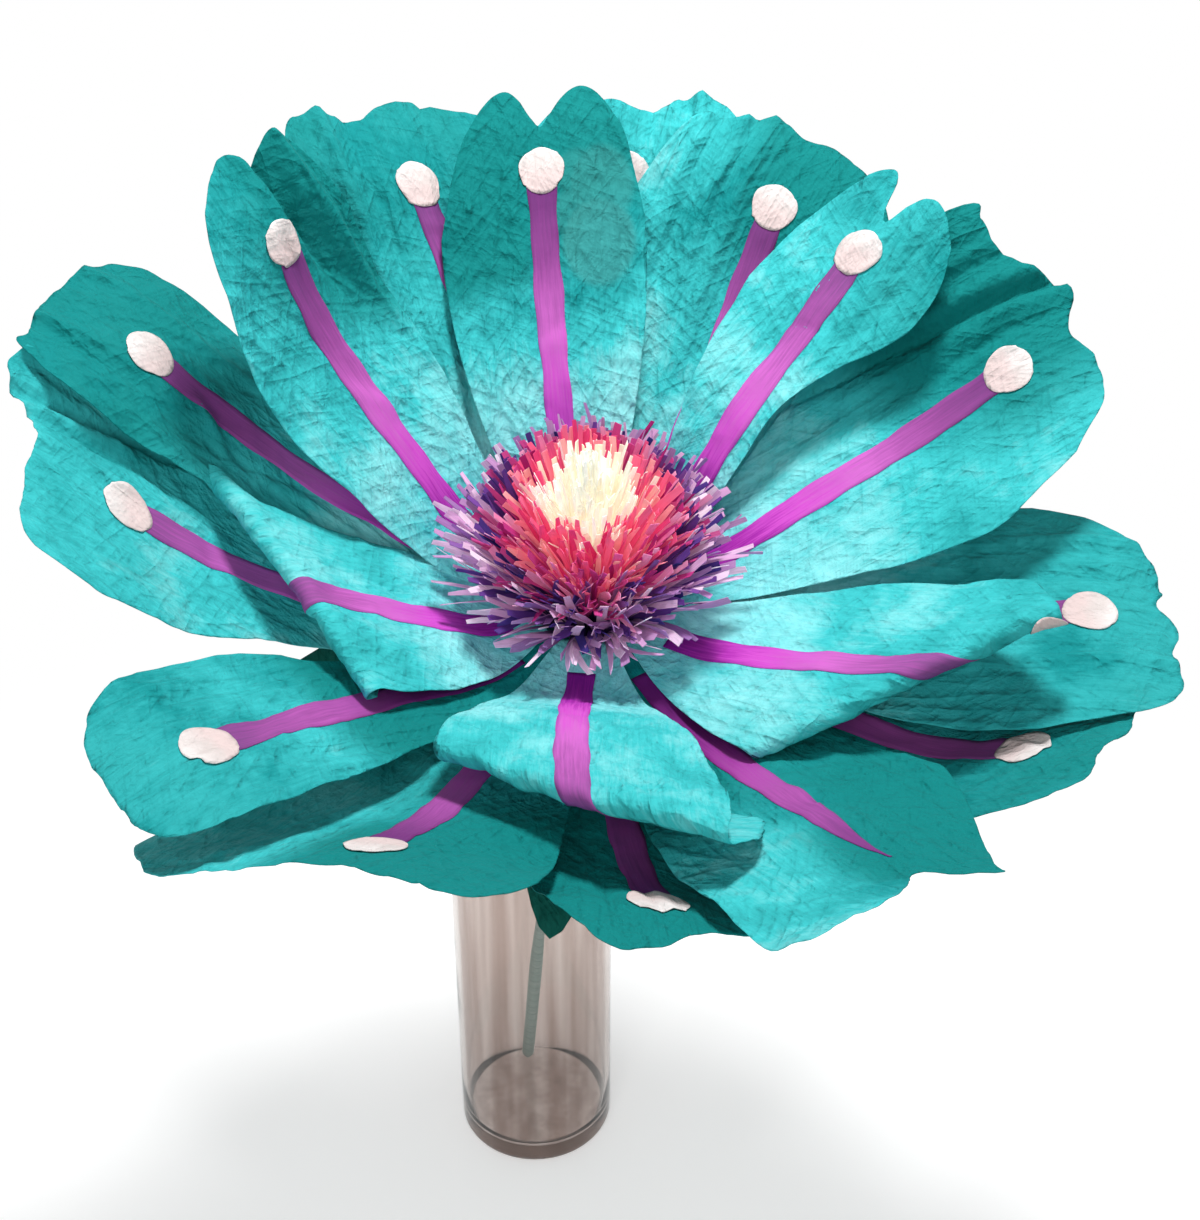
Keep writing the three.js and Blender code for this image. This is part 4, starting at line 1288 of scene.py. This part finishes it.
def fringe_rolls() -> list[FringeRoll]:
    """The five rolls from the middle out."""
    return [
        FringeRoll("fringe_cream", 1.5, 6.5, 300, 0, 29, 74, 94, 3.4,
                   StrandPaper("cream_strand_paper", "#FFE9CC", "#FFF8E6", "#FFFDF4", "#FFFFFF", 0.4, 0.22),
                   rear_rise=9.0, front_rise=0.0, front_pull=15.0, seed=11),
        FringeRoll("fringe_coral", 6.8, 11.2, 260, 26, 46, 58, 82, 3.9,
                   StrandPaper("coral_strand_paper", "#A01858", "#E8408A", "#FF84AC", "#FFCCC8", 0.3, 0.17),
                   rear_rise=13.0, front_rise=6.0, front_pull=11.0, seed=12),
        FringeRoll("fringe_magenta", 11.5, 15.9, 270, 39, 57, 47, 71, 4.0,
                   StrandPaper("magenta_strand_paper", "#5C0E4C", "#B8247E", "#E85CAA", "#FFC0E0", 0.3, 0.1),
                   rear_rise=12.0, front_rise=7.0, front_pull=12.0, seed=13),
        FringeRoll("fringe_violet", 16.2, 20.6, 250, 47, 66, 40, 63, 4.0,
                   StrandPaper("violet_strand_paper", "#120E38", "#2C2C78", "#7E48A6", "#D8A4DC", 0.2, 0.04),
                   rear_rise=11.0, front_rise=5.0, front_pull=12.0, seed=14),
        FringeRoll("fringe_lavender", 20.9, 25.3, 250, 56, 77, 35, 58, 4.1,
                   StrandPaper(
                       "lavender_strand_paper", "#281644", "#A270B2", "#E8B4DE", "#FFF0FC", 0.2, 0.08),
                   rear_rise=12.0, front_rise=5.0, front_pull=14.0, seed=15),
    ]


def main() -> None:
    """Builds the stage and every piece, and reports each."""
    logging.basicConfig(level=logging.INFO, format="%(message)s")
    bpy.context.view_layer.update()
    Studio().build()
    bpy.context.scene.view_settings.view_transform = "Standard"
    # The last colour is the painted shade
    turquoise = CrinkledPaper(
        "crushed_turquoise_mulberry_paper", "#0C898B", "#3ABBBE", "#96E4E6", "#007977"
    ).make()
    white_disc = CrinkledPaper(
        "pale_pink_mulberry_disc", "#CEC3C0", "#DFD7D5", "#EFE9E7", "#D8C3C1", cloud_mm=9.0, fibre_mm=1.0,
        dent_mm=6.0, crease_size=0.5, crease_height=0.35,
    ).make()
    leaf = CrinkledPaper("dark_green_calyx_paper", "#064A42", "#0B5A50", "#1A7468", "#043C36").make()
    strip = BrushedStripePaper().make()
    flower = Flower(petals=petal_list())
    for petal in flower.petals:
        flower.build_petal(petal, turquoise)
        flower.build_stripe(petal, strip, white_disc)
    for roll in fringe_rolls():
        roll.build(flower)
    Calyx().build(flower, leaf)
    Stem().build(WoundTape().make())
    Vase().build(BlownGlass().make())
    card = CardStock().make()
    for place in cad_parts["hub_disc"].material_slots:
        place.material = card


if __name__ == "__main__":
    main()
